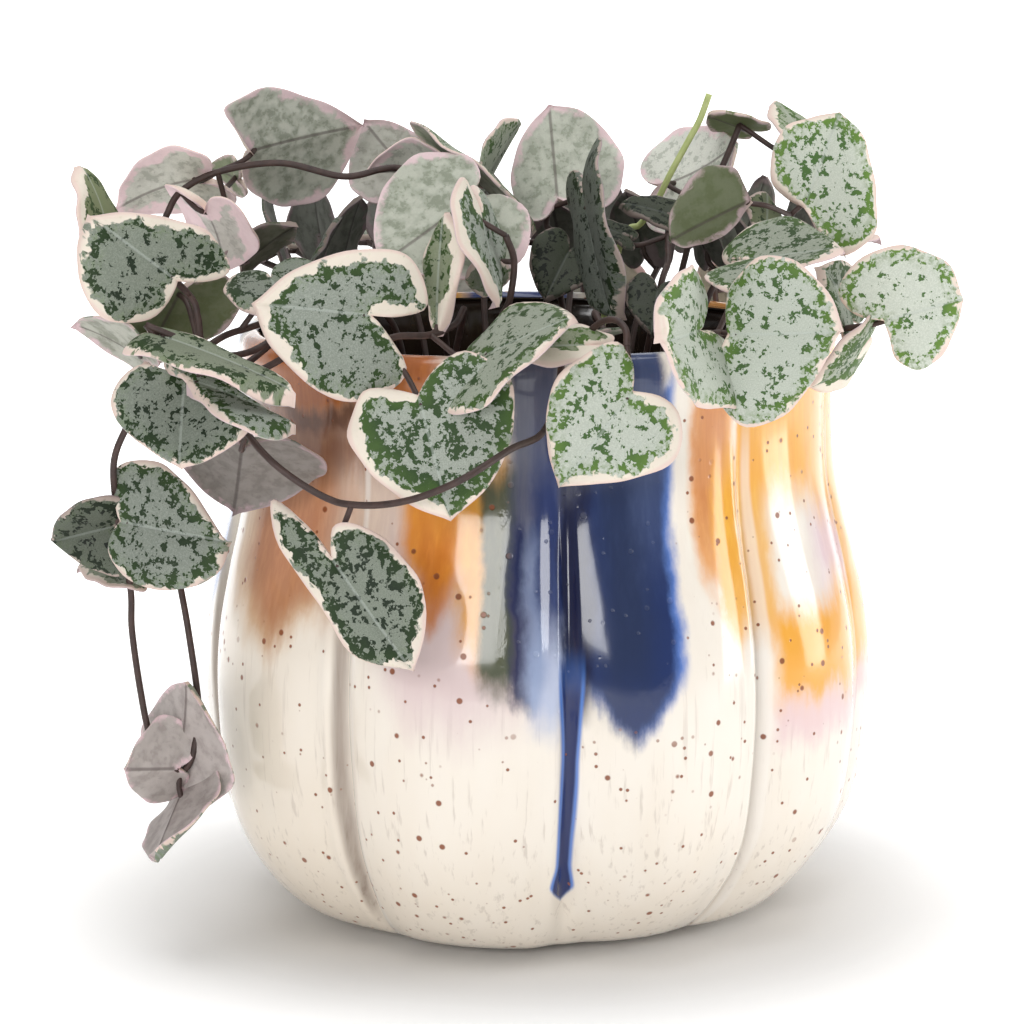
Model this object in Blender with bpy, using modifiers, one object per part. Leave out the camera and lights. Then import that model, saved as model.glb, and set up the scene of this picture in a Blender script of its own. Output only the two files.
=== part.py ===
"""String of hearts growing in a lobed, glazed pot.

Metres, +Z up, the origin at the centre of the pot's flat foot. The front, with the
blue drip, faces -Y. Sizes below are in millimetres.
"""
import math
import random

import bmesh
import bpy
from mathutils import Vector

MM = 0.001

# The pot, turned profile with nine lobes pressed into it.
POT_HEIGHT = 83.0
GROOVES_DEG = (-80, -35, 5, 41, 76, 116, 156, 195, 236)
COLUMNS_PER_LOBE = 5
OUTER = (
    (0.0, 26.0), (0.7, 30.0), (2.8, 36.7), (8.4, 42.0), (15.4, 45.5), (23.8, 47.3),
    (33.6, 47.9), (42.0, 47.3), (50.4, 45.5), (56.0, 44.0), (61.6, 42.7), (67.2, 42.1),
    (74.0, 41.9), (80.0, 42.3), (82.2, 41.8), (83.0, 40.6),
)
INNER = (
    (82.4, 39.3), (80.0, 38.6), (72.0, 38.2), (60.0, 38.9), (45.0, 42.2), (30.0, 43.5),
    (15.0, 41.0), (7.5, 34.0), (6.0, 27.0),
)
OUTER_GROOVE = ((0, 0.02), (3, 0.05), (9, 0.07), (25, 0.07), (42, 0.055), (60, 0.035), (83, 0.015))
INNER_GROOVE_SHARE = 0.5
LOBE_TUCK = (0.03, 0.0, 0.09, 0.08, 0.03, 0.05, 0.02, 0.04, 0.06)
LOBE_TUCK_TOP = 20.0

# The soil that fills it.
SOIL_TOP = 71.0
SOIL_GAP = 0.35
ROOT_DEPTH = 9.0

# The plant.
STEM_R = 0.6
PETIOLE_R = 0.5
HOLE_R = 1.0
BLADE = 0.9
HEART = ((0, 0), (-0.25, 0.13), (-0.31, 0.40), (0, 0.64), (0.40, 0.60), (0.78, 0.32), (1, 0))
RIB = (0, 0.05, 0.12, 0.28, 0.52, 0.82, 1)
HEART_HALF = 0.62

# Strands seen in the picture, in millimetres. A stem is the points it runs through. A leaf
# is its base, its tip, the way its upper face looks, half width, fold and droop. Leaves
# that show their own outline have it last, one row of points a side.
STRANDS = {
    "top_vine": {
        "root": (5, 4),
        "stem": [
            (2.1, -2.7, 92.5), (-3.5, -8.8, 95.7), (-12.6, -15.1, 103.5), (-19.2, -17.3, 106),
            (-26.1, -18.3, 104.9), (-34.8, -18, 106.7), (-43.3, -17, 105.4), (-48.3, -18, 102.8),
            (-50.3, -19, 99.4),
        ],
        "leaves": [
            ((-39.8, -12, 108), (-24.4, -4, 111.1), (0.1, 0.9, 0.35), 0.62, 0.12, 0.12,
             (((-0.02, 0.22), (0.08, 0.41), (0.33, 0.58), (0.63, 0.55), (0.88, 0.28)),
              ((-0.11, 0.21), (-0.19, 0.42), (0.09, 0.5), (0.4, 0.4), (0.75, 0.21)))),
            ((-46, -14, 104.6), (-57.9, -9, 100.1), (0.05, 0.74, 0.67), 0.5, 0, 0.35),
            ((-44.4, -20, 100.8), (-42.5, -12.5, 91.8), (0.57, 0.57, 0.59), 0.64, 0.11, 0.22),
            ((-41.6, -2, 103.5), (-45.7, 1.5, 104.7), (0.66, 0.63, 0.41), 0.57, 0.07, 0.3),
            ((-40, -10.6, 93.3), (-33.1, -12.4, 98.2), (-0.43, 0.47, 0.77), 0.61, 0.15, 0.09),
        ],
    },
    "left_front": {
        "root": (-21, -14),
        "stem": [
            (-25, -23, 87.5), (-39.1, -36, 86.1), (-43.4, -40, 84.6), (-44.2, -41, 88.3),
            (-45.2, -40.4, 91), (-50.6, -36.5, 95.5), (-55.1, -33.1, 97.3),
        ],
        "leaves": [
            ((-46.5, -43, 93.2), (-57.1, -47, 101.9), (-0.1, -1, 0.25), 0.62, 0.12, 0.1,
             (((-0.05, 0.24), (0.02, 0.45), (0.3, 0.64), (0.63, 0.61), (0.91, 0.31)),
              ((-0.22, 0.15), (-0.31, 0.37), (-0.01, 0.52), (0.35, 0.44), (0.75, 0.24)))),
            ((-57, -31, 98.3), (-60.7, -28.2, 107), (0.85, -0.28, 0.45), 0.63, 0, 0.24),
            ((-35, -36.5, 93.1), (-32.7, -44.5, 88.9), (-0.18, -0.25, 0.95), 0.65, 0.09, 0),
        ],
    },
    "left_mid": {
        "root": (-27, -6),
        "stem": [
            (-26.8, -21, 87.5), (-38.3, -30, 82.5), (-44.3, -37, 83.3), (-49.5, -38, 83.7),
            (-52.1, -38, 83.5),
        ],
        "leaves": [
            ((-51.3, -36.6, 82.4), (-61, -31.7, 86.7), (0.54, 0.45, 0.71), 0.64, 0, 0.2),
            ((-47.1, -31.5, 91.4), (-52.5, -28.3, 81.1), (-0.13, 0.92, 0.36), 0.68, 0.15, 0.09),
        ],
    },
    "left_long": {
        "root": (-17, -24),
        "stem": [
            (-21.1, -26.6, 87.5), (-36.5, -46, 81.9), (-41.4, -49, 84.8), (-47, -50, 87.1),
            (-50.1, -50, 88.4),
        ],
        "leaves": [
            ((-49.6, -49.6, 87.3), (-30.7, -56.6, 80.6), (0.35, -0.45, 0.82), 0.62, 0.1, 0.1,
             (((-0.05, 0.06), (0.06, 0.12), (0.3, 0.17), (0.6, 0.16), (0.87, 0.09)),
              ((-0.1, 0.1), (-0.05, 0.2), (0.25, 0.27), (0.55, 0.24), (0.85, 0.12)))),
            ((-45.1, -49.4, 81.2), (-30.8, -56.4, 76.6), (0.35, -0.5, 0.8), 0.62, 0.15, 0.1,
             (((-0.22, 0.1), (-0.37, 0.25), (-0.05, 0.23), (0.28, 0.13), (0.67, 0.04)),
              ((0.15, 0.11), (0.3, 0.21), (0.52, 0.36), (0.75, 0.44), (0.97, 0.25)))),
        ],
    },
    "left_hang": {
        "root": (-30, 0),
        "stem": [
            (-28.3, -18.8, 87.5), (-39.3, -26, 80.3), (-44.9, -34.8, 78.7), (-51.9, -38.8, 76.5),
            (-54.2, -38.1, 73.1), (-55.9, -37, 68.4), (-55.8, -34, 60.8), (-54.5, -32, 51),
            (-54.5, -31, 45.1), (-53.6, -30, 36.6), (-52.4, -30, 30.4), (-50.4, -30, 27),
            (-48.4, -30, 25.3), (-46.9, -30, 27), (-46, -30, 31.1), (-45.9, -29, 35),
            (-47.2, -28, 44.5), (-48.3, -27, 50.5),
        ],
        "leaves": [
            ((-45.6, -45.5, 80.7), (-45.8, -52.5, 70.6), (-0.15, -0.9, 0.35), 0.62, 0.12, 0.12,
             (((0.05, 0.25), (0.14, 0.48), (0.39, 0.7), (0.73, 0.7), (0.94, 0.34)),
              ((-0.14, 0.25), (-0.18, 0.5), (0.1, 0.76), (0.47, 0.68), (0.8, 0.33)))),
            ((-55.4, -36, 60.7), (-40.9, -41, 58.9), (0.1, -0.98, 0.1), 0.62, 0.12, 0.1,
             (((-0.09, 0.21), (-0.11, 0.44), (0.17, 0.56), (0.48, 0.48), (0.78, 0.23)),
              ((-0.07, 0.21), (0.03, 0.38), (0.32, 0.5), (0.63, 0.49), (0.94, 0.29)))),
            ((-56.1, -33, 59.8), (-65.1, -31.3, 57.3), (-0.06, -0.91, -0.4), 0.62, 0.53, 0),
            ((-53.9, -28, 51.6), (-62.4, -23.6, 52.4), (0.02, -0.15, 0.99), 0.6, 0.15, 0.3),
            ((-48.5, -28, 25.7), (-46.9, -31.8, 38.2), (0.69, 0.72, 0.13), 0.62, 0.18, 0.16),
            ((-48.7, -31, 26.2), (-55.6, -34.2, 26.8), (-0.4, 0.9, 0.19), 0.78, 0.55, 0),
            ((-47.9, -29, 22), (-50.8, -39.6, 15.3), (0.71, 0.23, -0.67), 0.52, 0.19, 0),
        ],
    },
    "front_vine": {
        "root": (3, -25),
        "stem": [
            (1.9, -33.9, 87.5), (2.5, -43.6, 85.8), (2.7, -47.6, 81.7), (0.7, -52, 75.2),
            (-3.8, -59.2, 73.7), (-8.7, -64.2, 71.3), (-12.5, -63.5, 69.3), (-16.2, -62, 67.8),
            (-20.1, -58, 66.5), (-23.8, -56, 66.2), (-26.6, -54, 66.5), (-30.5, -53, 68.5),
            (-34.3, -52, 71.3), (-37.5, -48, 74.2), (-39, -46, 76.9),
        ],
        "leaves": [
            ((-26.5, -57, 59.8), (-16.1, -58, 45.1), (-0.25, -0.95, 0.25), 0.62, 0.14, 0.12,
             (((-0.16, 0.14), (-0.06, 0.3), (0.22, 0.4), (0.53, 0.42), (0.83, 0.24)),
              ((-0.31, 0.03), (-0.57, 0.14), (-0.25, 0.27), (0.19, 0.26), (0.69, 0.28)))),
            ((-38.4, -42.9, 72.1), (-40.4, -32.3, 61.9), (0.24, 0.7, 0.68), 0.71, 0.17, 0.1),
        ],
    },
    "front_left": {
        "root": (-13, -24),
        "stem": [
            (-9.9, -32.5, 87.8), (-11, -36, 86.8), (-14.1, -42, 86.2), (-17.9, -46, 86.5),
            (-19.8, -47, 86.1),
        ],
        "leaves": [
            ((-21.2, -49.4, 89.5), (-36, -54.4, 91.6), (0, -1, 0.15), 0.62, 0.14, 0.12,
             (((-0.22, 0.2), (-0.32, 0.46), (0, 0.7), (0.42, 0.66), (0.82, 0.36)),
              ((-0.26, 0.02), (-0.49, 0.14), (-0.28, 0.5), (0.18, 0.52), (0.68, 0.31)))),
            ((-15.4, -53.1, 79.9), (-11.3, -58.1, 64.8), (0, -0.98, 0.2), 0.62, 0.12, 0.12,
             (((-0.2, 0.21), (-0.25, 0.46), (0.05, 0.7), (0.45, 0.66), (0.82, 0.35)),
              ((-0.12, 0.21), (-0.13, 0.43), (0.15, 0.6), (0.49, 0.53), (0.82, 0.28)))),
            ((-13.2, -40.4, 85.7), (-12.3, -38.4, 101.7), (-0.5, -0.85, 0.1), 0.62, 0.2, 0.1,
             (((0.12, 0.06), (0.25, 0.09), (0.43, 0.16), (0.63, 0.19), (0.85, 0.11)),
              ((0.12, 0.08), (0.26, 0.13), (0.45, 0.21), (0.65, 0.24), (0.87, 0.15)))),
            ((-7.7, -49.7, 83.9), (4.3, -56.2, 90), (-0.54, -0.28, 0.79), 0.68, 0, 0.06),
        ],
    },
    "mid_front": {
        "root": (-4, -18),
        "stem": [
            (-5.1, -31, 85.5), (-3.8, -34, 89.9), (-3.2, -35, 95), (-4.3, -36, 98.5),
        ],
        "leaves": [
            ((-7.8, -35.9, 101.7), (-5.1, -38.9, 89.5), (0.91, -0.26, 0.33), 0.59, 0, 0),
            ((-6.6, -33.9, 94), (-7.4, -31.9, 90), (0.2, -0.77, -0.6), 0.65, 0.28, 0),
        ],
    },
    "centre_front": {
        "root": (13, -23),
        "stem": [
            (7.5, -33.2, 87.5), (8.6, -38, 85.7), (6.3, -44, 86.4), (7.8, -46, 88.2),
            (9.7, -48, 88.8), (11, -50, 87.7), (11.1, -51, 85.9),
        ],
        "leaves": [
            ((11.9, -52.7, 80.3), (2.6, -54.7, 68.3), (0.05, -0.98, 0.2), 0.62, 0.12, 0.12,
             (((-0.1, 0.22), (-0.06, 0.44), (0.19, 0.62), (0.5, 0.51), (0.79, 0.24)),
              ((-0.2, 0.15), (-0.24, 0.38), (0.08, 0.53), (0.44, 0.55), (0.79, 0.29)))),
            ((6.2, -47.3, 85.3), (-4.7, -47.3, 84.7), (0, -0.6, 0.8), 0.32, 0.3, 0.05),
            ((8.4, -38, 85.7), (1.9, -40.3, 84.5), (-0.19, 0.04, 0.98), 0.63, 0.21, 0.15),
        ],
    },
    "right_front": {
        "root": (24, -18),
        "stem": [
            (17.2, -29.3, 87.5), (22.4, -38.1, 83.9), (22.4, -42, 86.2), (23.5, -45, 86.8),
        ],
        "leaves": [
            ((24, -48, 86.9), (38.1, -52, 87.7), (0.05, -1, 0.1), 0.62, 0.12, 0.1,
             (((-0.03, 0.24), (0.05, 0.46), (0.32, 0.66), (0.65, 0.63), (0.91, 0.32)),
              ((-0.11, 0.26), (-0.12, 0.53), (0.15, 0.79), (0.52, 0.7), (0.81, 0.33)))),
            ((20.2, -52.6, 88), (15.2, -63.6, 87.8), (0.72, -0.66, 0.2), 0.62, 0.15, 0.1,
             (((-0.49, 0.1), (-0.88, 0.37), (-0.63, 0.86), (0.08, 0.85), (0.87, 0.6)),
              ((-0.31, 0.14), (-0.54, 0.37), (-0.16, 0.64), (0.33, 0.68), (0.85, 0.43)))),
            ((27.1, -34, 95), (39.6, -38.3, 97), (-0.25, -0.3, 0.92), 0.68, 0.16, 0),
        ],
    },
    "right_far": {
        "root": (29, -8),
        "stem": [
            (28.9, -18, 87.5), (37.4, -23.3, 82.5), (40.5, -24, 84.7), (44.4, -26, 85.6),
        ],
        "leaves": [
            ((46, -28, 86.4), (56.2, -30, 89.6), (0.1, -0.95, 0.2), 0.62, 0.12, 0.1,
             (((-0.32, 0.18), (-0.44, 0.5), (-0.07, 0.82), (0.45, 0.83), (0.94, 0.49)),
              ((0.02, 0.24), (0.03, 0.48), (0.26, 0.7), (0.58, 0.6), (0.84, 0.29)))),
            ((43.7, -24, 83), (36, -28.8, 77.7), (0.68, -0.48, -0.55), 0.59, 0.06, 0.31),
            ((42.4, -18, 85.7), (37.9, -23.3, 93.2), (0.87, -0.44, 0.22), 0.63, 0.2, 0.11),
        ],
    },
    "right_top": {
        "root": (25, 0),
        "stem": [
            (28.8, -6, 91), (31.4, -8, 96.1), (34.8, -9, 98.9),
        ],
        "leaves": [
            ((36.5, -10, 100.1), (41.7, -6, 112.9), (0.1, -0.95, 0.2), 0.62, 0.12, 0.1,
             (((0.03, 0.19), (0.11, 0.36), (0.36, 0.47), (0.64, 0.45), (0.85, 0.23)),
              ((-0.18, 0.24), (-0.3, 0.5), (0, 0.73), (0.4, 0.6), (0.83, 0.34)))),
            ((31.1, -12, 98), (31.4, -7.6, 101.8), (0.65, -0.53, 0.55), 0.61, 0.14, 0.08),
            ((28.9, -14, 101.5), (17.7, -17, 96.2), (0, 0.9, 0.3), 0.62, 0.12, 0.12,
             (((0.01, 0.21), (0.05, 0.41), (0.31, 0.53), (0.61, 0.48), (0.89, 0.27)),
              ((0.12, 0.08), (0.24, 0.17), (0.43, 0.24), (0.64, 0.25), (0.87, 0.16)))),
        ],
    },
    "top_right": {
        "root": (17, 8),
        "stem": [
            (21.7, 6, 94.1), (23.9, 8, 98.9), (26.8, 9, 105.2), (28.9, 10, 110.1),
        ],
        "leaves": [
            ((39, 7.1, 106.9), (34, 13, 113.4), (0.6, -0.3, 0.74), 0.6, 0.1, 0.04),
            ((30.1, 13, 109.6), (24.3, 9.7, 111.8), (0.11, 0.41, 0.91), 0.62, 0.02, 0.03),
            ((19.1, 18, 100.9), (28.8, 11.4, 107.3), (0.68, 0.6, -0.42), 0.68, 0.13, 0.35),
        ],
    },
    "top_centre": {
        "root": (0, 3),
        "stem": [
            (2.1, 1, 93.2), (1.3, 1, 96.7), (1.7, 0, 99.1),
        ],
        "leaves": [
            ((2.9, -1.2, 100.1), (1.7, 3.8, 113.1), (0, 0.95, 0.2), 0.62, 0.1, 0.12,
             (((-0.12, 0.24), (-0.12, 0.49), (0.19, 0.69), (0.56, 0.64), (0.91, 0.35)),
              ((-0.17, 0.15), (-0.15, 0.31), (0.13, 0.45), (0.45, 0.41), (0.79, 0.23)))),
            ((6.5, -12, 101.8), (10.4, -21, 85.7), (-0.93, -0.3, -0.1), 0.5, 0.1, 0.1),
            ((4.4, -7.9, 93.8), (1.1, -12.9, 87.6), (0, -0.8, 0.5), 0.55, 0.2, 0.1),
        ],
    },
    "mid_left": {
        "root": (-12, -4),
        "stem": [
            (-13.4, -13, 93.1), (-12.3, -14.1, 97.5), (-12.2, -14.1, 100.9),
        ],
        "leaves": [
            ((-9.2, -25.4, 102), (-20.8, -33.5, 94.2), (-0.1, 0.76, -0.64), 0.62, 0.2, 0.08),
            ((-12, -8.1, 103.5), (-23.8, -3.3, 104.6), (0.19, 0.25, 0.95), 0.65, 0.42, 0.35),
            ((-12, -8.6, 106.9), (-0.1, -15.3, 97.4), (0.67, 0.16, 0.73), 0.63, 0.08, 0.08),
            ((-8.2, -1.9, 102.5), (-2.4, 6.5, 110.7), (0.87, -0.15, -0.46), 0.64, 0, 0),
            ((-18.4, 1.9, 104), (-24.4, 7.7, 110.4), (-0.04, 0.72, -0.69), 0.68, 0.25, 0.12),
        ],
    },
    "inner_right": {
        "root": (14, -6),
        "stem": [
            (16.8, -12, 88.9), (18, -9, 92.4), (18.1, -6, 95.8),
        ],
        "leaves": [
            ((16.2, -19.7, 89.6), (15.1, -24.7, 84.2), (0, -0.8, 0.5), 0.55, 0.2, 0.1),
            ((18.2, -3, 98.3), (11.5, -3, 99.9), (0, -0.5, 0.8), 0.5, 0.2, 0.1),
            ((12.1, -8, 95.7), (7, -8, 97.5), (0, -0.4, 0.8), 0.5, 0.2, 0.1),
        ],
    },
    "shoot": {
        "root": (8, 12),
        "stem": [
            (11.9, 8, 93.2), (14.7, 8, 96.1), (16.8, 7, 99), (18.8, 6, 103.3),
            (21.6, 6, 108.5), (23, 6, 111.1), (24.3, 6, 114.7),
        ],
        "leaves": [
        ],
    },
}

BACK = ((10, 0), (34, 0), (57, 3), (81, 3), (105, 2), (129, 2), (153, 0), (177, 0))


def back_strands():
    """The strands the photo can't show, one to each wedge of the pot's back.

    Each strand keeps to the middle of its wedge: a leaf faces along or across the
    wedge and is narrower than it, so that no strand meets the next one.
    """
    rng = random.Random(11)
    out = {}
    for k, (deg, hang) in enumerate(BACK):
        a = math.radians(deg)
        ca, sa = math.cos(a), math.sin(a)

        def p(r, z, side=0.0):
            return (r * ca - side * sa, r * sa + side * ca, z)

        path = [(27, 80), (32, 88), (38.5, 91.5)]
        if hang:
            path += [(46, 90), (50.5, 83), (52, 73)]
            path += [(52.5, 62 - 11 * j) for j in range(hang - 1)]
        stem = [p(r + rng.uniform(-0.5, 0.5), z, rng.uniform(-0.8, 0.8)) for r, z in path]
        s = 1
        rows = [
            (p(31, 91, s), p(27.5, 100 - 2 * (k % 2), 2 * s), p(0.9, 0.45)),
            (p(36, 93, -s), p(38.5, 104 - 2 * (k % 3), -3 * s), p(0.9, -0.1)),
            (p(41, 92.5, 2 * s), p(50.5, 94 - 2 * (k % 2), 3 * s), p(-0.1, 1)),
        ]
        for j in range(hang):
            s = -s
            z = 84 - 11.5 * j
            rows.append((p(54.5, z, 1.5 * s), p(58, z - 12.5, 3.5 * s), p(1, 0.35)))
        leaves = [(b, t, n, 0.56 + rng.uniform(-0.04, 0.04), 0.14, 0.12) for b, t, n in rows]
        out["back_%d" % (k + 1)] = {"root": (25 * ca, 25 * sa), "stem": stem, "leaves": leaves}
    return out


def material(name, colour, rough):
    mat = bpy.data.materials.new(name)
    mat.use_nodes = True
    shader = mat.node_tree.nodes["Principled BSDF"]
    shader.inputs["Base Color"].default_value = (*colour, 1)
    shader.inputs["Roughness"].default_value = rough
    return mat


def place(name, mesh, mat):
    ob = bpy.data.objects.new(name, mesh)
    bpy.context.scene.collection.objects.link(ob)
    mesh.materials.clear()
    mesh.materials.append(mat)
    return ob


def settled(ob):
    """A new mesh of the object with its modifiers worked in."""
    bpy.context.view_layer.update()
    graph = bpy.context.evaluated_depsgraph_get()
    return bpy.data.meshes.new_from_object(ob.evaluated_get(graph), depsgraph=graph)


def step(table, z):
    """Straight-line reading of a (height, value) table."""
    if z <= table[0][0]:
        return table[0][1]
    for (z0, v0), (z1, v1) in zip(table, table[1:]):
        if z <= z1:
            return v0 + (v1 - v0) * (z - z0) / (z1 - z0)
    return table[-1][1]


def lobe_scale(k, t, z, share):
    """How far lobe k stands out at fraction t of its width: 1 on its crown."""
    fall = (2 * t - 1) ** 2
    scale = 1 - share * step(OUTER_GROOVE, z) * fall
    if z < LOBE_TUCK_TOP:
        nxt = (k + 1) % len(LOBE_TUCK)
        side = LOBE_TUCK[k] if t > 0 else 0.5 * (LOBE_TUCK[k] + LOBE_TUCK[nxt - 2])
        scale -= side * (1 - z / LOBE_TUCK_TOP) ** 2
    return scale


def ring(bm, z, r, share):
    verts = []
    count = len(GROOVES_DEG)
    for k in range(count):
        a0 = GROOVES_DEG[k]
        a1 = GROOVES_DEG[(k + 1) % count] + (360 if k == count - 1 else 0)
        for c in range(COLUMNS_PER_LOBE):
            t = c / COLUMNS_PER_LOBE
            a = math.radians(a0 + (a1 - a0) * t - 90)
            q = r * lobe_scale(k, t, z, share)
            verts.append(bm.verts.new((q * math.cos(a) * MM, q * math.sin(a) * MM, z * MM)))
    return verts


def lobed_solid(name, rows, mat):
    """A closed solid through rings of (height, radius, groove share), ends capped flat."""
    bm = bmesh.new()
    rings = [ring(bm, z, r, share) for z, r, share in rows]
    for low, high in zip(rings, rings[1:]):
        n = len(low)
        for i in range(n):
            j = (i + 1) % n
            bm.faces.new((low[i], low[j], high[j], high[i]))
    for edge, z, flip in ((rings[0], rows[0][0], True), (rings[-1], rows[-1][0], False)):
        mid = bm.verts.new((0, 0, z * MM))
        n = len(edge)
        for i in range(n):
            j = (i + 1) % n
            bm.faces.new((mid, edge[j], edge[i]) if flip else (mid, edge[i], edge[j]))
    bmesh.ops.triangulate(bm, faces=bm.faces[:])
    mesh = bpy.data.meshes.new(name)
    bm.to_mesh(mesh)
    bm.free()
    return place(name, mesh, mat)


def tube(name, points, radius, resolution, per_span, mat, straight=0):
    """A round stem through the points, drawn as a bevelled curve and made a mesh."""
    curve = bpy.data.curves.new(name, "CURVE")
    curve.dimensions = "3D"
    curve.resolution_u = per_span
    curve.bevel_depth = radius * MM
    curve.bevel_resolution = resolution
    curve.use_fill_caps = True
    spline = curve.splines.new("BEZIER")
    spline.bezier_points.add(len(points) - 1)
    for knot, p in zip(spline.bezier_points, points):
        knot.co = Vector(p) * MM
        knot.handle_left_type = "AUTO"
        knot.handle_right_type = "AUTO"
    for knot in spline.bezier_points[:straight]:
        knot.handle_left_type = "VECTOR"
        knot.handle_right_type = "VECTOR"
    ob = bpy.data.objects.new(name, curve)
    bpy.context.scene.collection.objects.link(ob)
    mesh = settled(ob)
    bpy.data.objects.remove(ob)
    bm = bmesh.new()
    bm.from_mesh(mesh)
    bmesh.ops.remove_doubles(bm, verts=bm.verts[:], dist=1e-6)
    bmesh.ops.triangulate(bm, faces=bm.faces[:])
    bmesh.ops.recalc_face_normals(bm, faces=bm.faces[:])
    bm.to_mesh(mesh)
    bm.free()
    return place(name, mesh, mat)


def leaf_axes(row):
    """Length, the direction to the tip, the upper face's direction and the sideways one."""
    base, tip, up = Vector(row[0]), Vector(row[1]), Vector(row[2])
    droop = row[5]
    chord = tip - base
    e = chord.normalized()
    m = (up - up.dot(e) * e).normalized()
    k = math.sqrt(1 + droop * droop)
    t = (e + droop * m) / k
    n = (m - droop * e) / k
    return chord.length / k, t, n, n.cross(t)


def leaf(name, row, mat):
    """A heart-shaped blade folded along its midrib, its tip bent over."""
    base = Vector(row[0])
    half, fold, droop = row[3:6]
    length, t, n, w = leaf_axes(row)
    bm = bmesh.new()
    last = len(HEART) - 1
    ribs, sides = [], {1: [], -1: []}
    for i, r in enumerate(RIB):
        p = base + length * (r * t - droop * r * abs(r) * n)
        ribs.append(bm.verts.new(p * MM))
        for s in (1, -1):
            if i in (0, last):
                sides[s].append(ribs[-1])
                continue
            a, b = HEART[i]
            b = b * half / HEART_HALF
            if len(row) > 6:
                a, b = row[6][0 if s == 1 else 1][i - 1]
            lift = fold * abs(b) - droop * a * abs(a)
            sides[s].append(bm.verts.new((base + length * (a * t + s * b * w + lift * n)) * MM))
    for i in range(last):
        for s in (1, -1):
            low, high = sides[s][i], sides[s][i + 1]
            corner = [ribs[i], ribs[i + 1], high, low]
            if i == 0:
                corner = [ribs[0], ribs[1], high]
            if i == last - 1:
                corner = [ribs[i], ribs[last], low]
            bm.faces.new(corner[::-1] if s == 1 else corner)
    bmesh.ops.triangulate(bm, faces=bm.faces[:])
    mesh = bpy.data.meshes.new(name)
    bm.to_mesh(mesh)
    bm.free()
    ob = place(name, mesh, mat)
    shell = ob.modifiers.new("thickness", "SOLIDIFY")
    shell.thickness = BLADE * MM
    shell.offset = 0
    thick = settled(ob)
    bpy.data.objects.remove(ob)
    return place(name, thick, mat)


def petiole(name, row, stem, mat):
    """The leaf's stalk, from the nearest point of the stem up into the blade."""
    base = Vector(row[0])
    length, t, n, _ = leaf_axes(row)
    start = min((Vector(p) for p in stem), key=lambda p: (p - base).length)
    end = base + 0.1 * length * t
    reach = (end - start).length
    bend = end - 0.35 * reach * n - 0.3 * reach * t
    mid = 0.25 * start + 0.5 * bend + 0.25 * end
    return tube(name, (start, mid, end), PETIOLE_R, 0, 1, mat)


def keep_largest(mesh):
    """Drops any loose scrap that a union leaves."""
    bm = bmesh.new()
    bm.from_mesh(mesh)
    left = set(bm.verts)
    parts = []
    while left:
        seed = left.pop()
        part, queue = {seed}, [seed]
        while queue:
            for edge in queue.pop().link_edges:
                for v in edge.verts:
                    if v in left:
                        left.remove(v)
                        part.add(v)
                        queue.append(v)
        parts.append(part)
    parts.sort(key=len)
    scraps = [v for part in parts[:-1] for v in part]
    bmesh.ops.delete(bm, geom=scraps, context="VERTS")
    bm.to_mesh(mesh)
    bm.free()


def join(name, body, pieces):
    """One solid of the body and its pieces, by one Boolean union."""
    group = bpy.data.collections.new(name + "_pieces")
    bpy.context.scene.collection.children.link(group)
    for ob in pieces:
        bpy.context.scene.collection.objects.unlink(ob)
        group.objects.link(ob)
    union = body.modifiers.new("join", "BOOLEAN")
    union.operation = "UNION"
    union.operand_type = "COLLECTION"
    union.collection = group
    union.solver = "MANIFOLD"
    mesh = settled(body)
    for ob in pieces:
        bpy.data.objects.remove(ob)
    bpy.data.collections.remove(group)
    mat = body.data.materials[0]
    bpy.data.objects.remove(body)
    keep_largest(mesh)
    return place(name, mesh, mat)


def strand(name, spec, mat):
    x, y = spec["root"]
    stem = [tuple(p) for p in spec["stem"]]
    path = [(x, y, SOIL_TOP - ROOT_DEPTH), (x, y, SOIL_TOP + 1.0)] + stem
    body = tube(name + "_stem", path, STEM_R, 0, 2, mat, straight=2)
    pieces = []
    for i, row in enumerate(spec["leaves"]):
        pieces.append(leaf("%s_leaf_%d" % (name, i), row, mat))
        pieces.append(petiole("%s_stalk_%d" % (name, i), row, stem, mat))
    if not pieces:
        body.name = name
        return body
    return join(name, body, pieces)


for start_object in list(bpy.data.objects):
    bpy.data.objects.remove(start_object)

glaze = material("glazed_clay", (0.80, 0.74, 0.64), 0.18)
earth = material("potting_soil", (0.06, 0.04, 0.03), 0.95)
green = material("leaf", (0.36, 0.46, 0.38), 0.45)

pot_rows = [(z, r, 1.0) for z, r in OUTER] + [(z, r, INNER_GROOVE_SHARE) for z, r in INNER]
lobed_solid("pot", pot_rows, glaze)

plant = dict(STRANDS)
plant.update(back_strands())

soil_rows = [(6.0 + SOIL_GAP, 26.5)]
soil_rows += [(z, r - SOIL_GAP) for z, r in reversed(INNER) if 7.0 < z <= 60.0]
soil_rows += [(SOIL_TOP, step(tuple(reversed(INNER)), SOIL_TOP) - SOIL_GAP)]
soil = lobed_solid("soil_block", [(z, r, INNER_GROOVE_SHARE) for z, r in soil_rows], earth)

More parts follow.
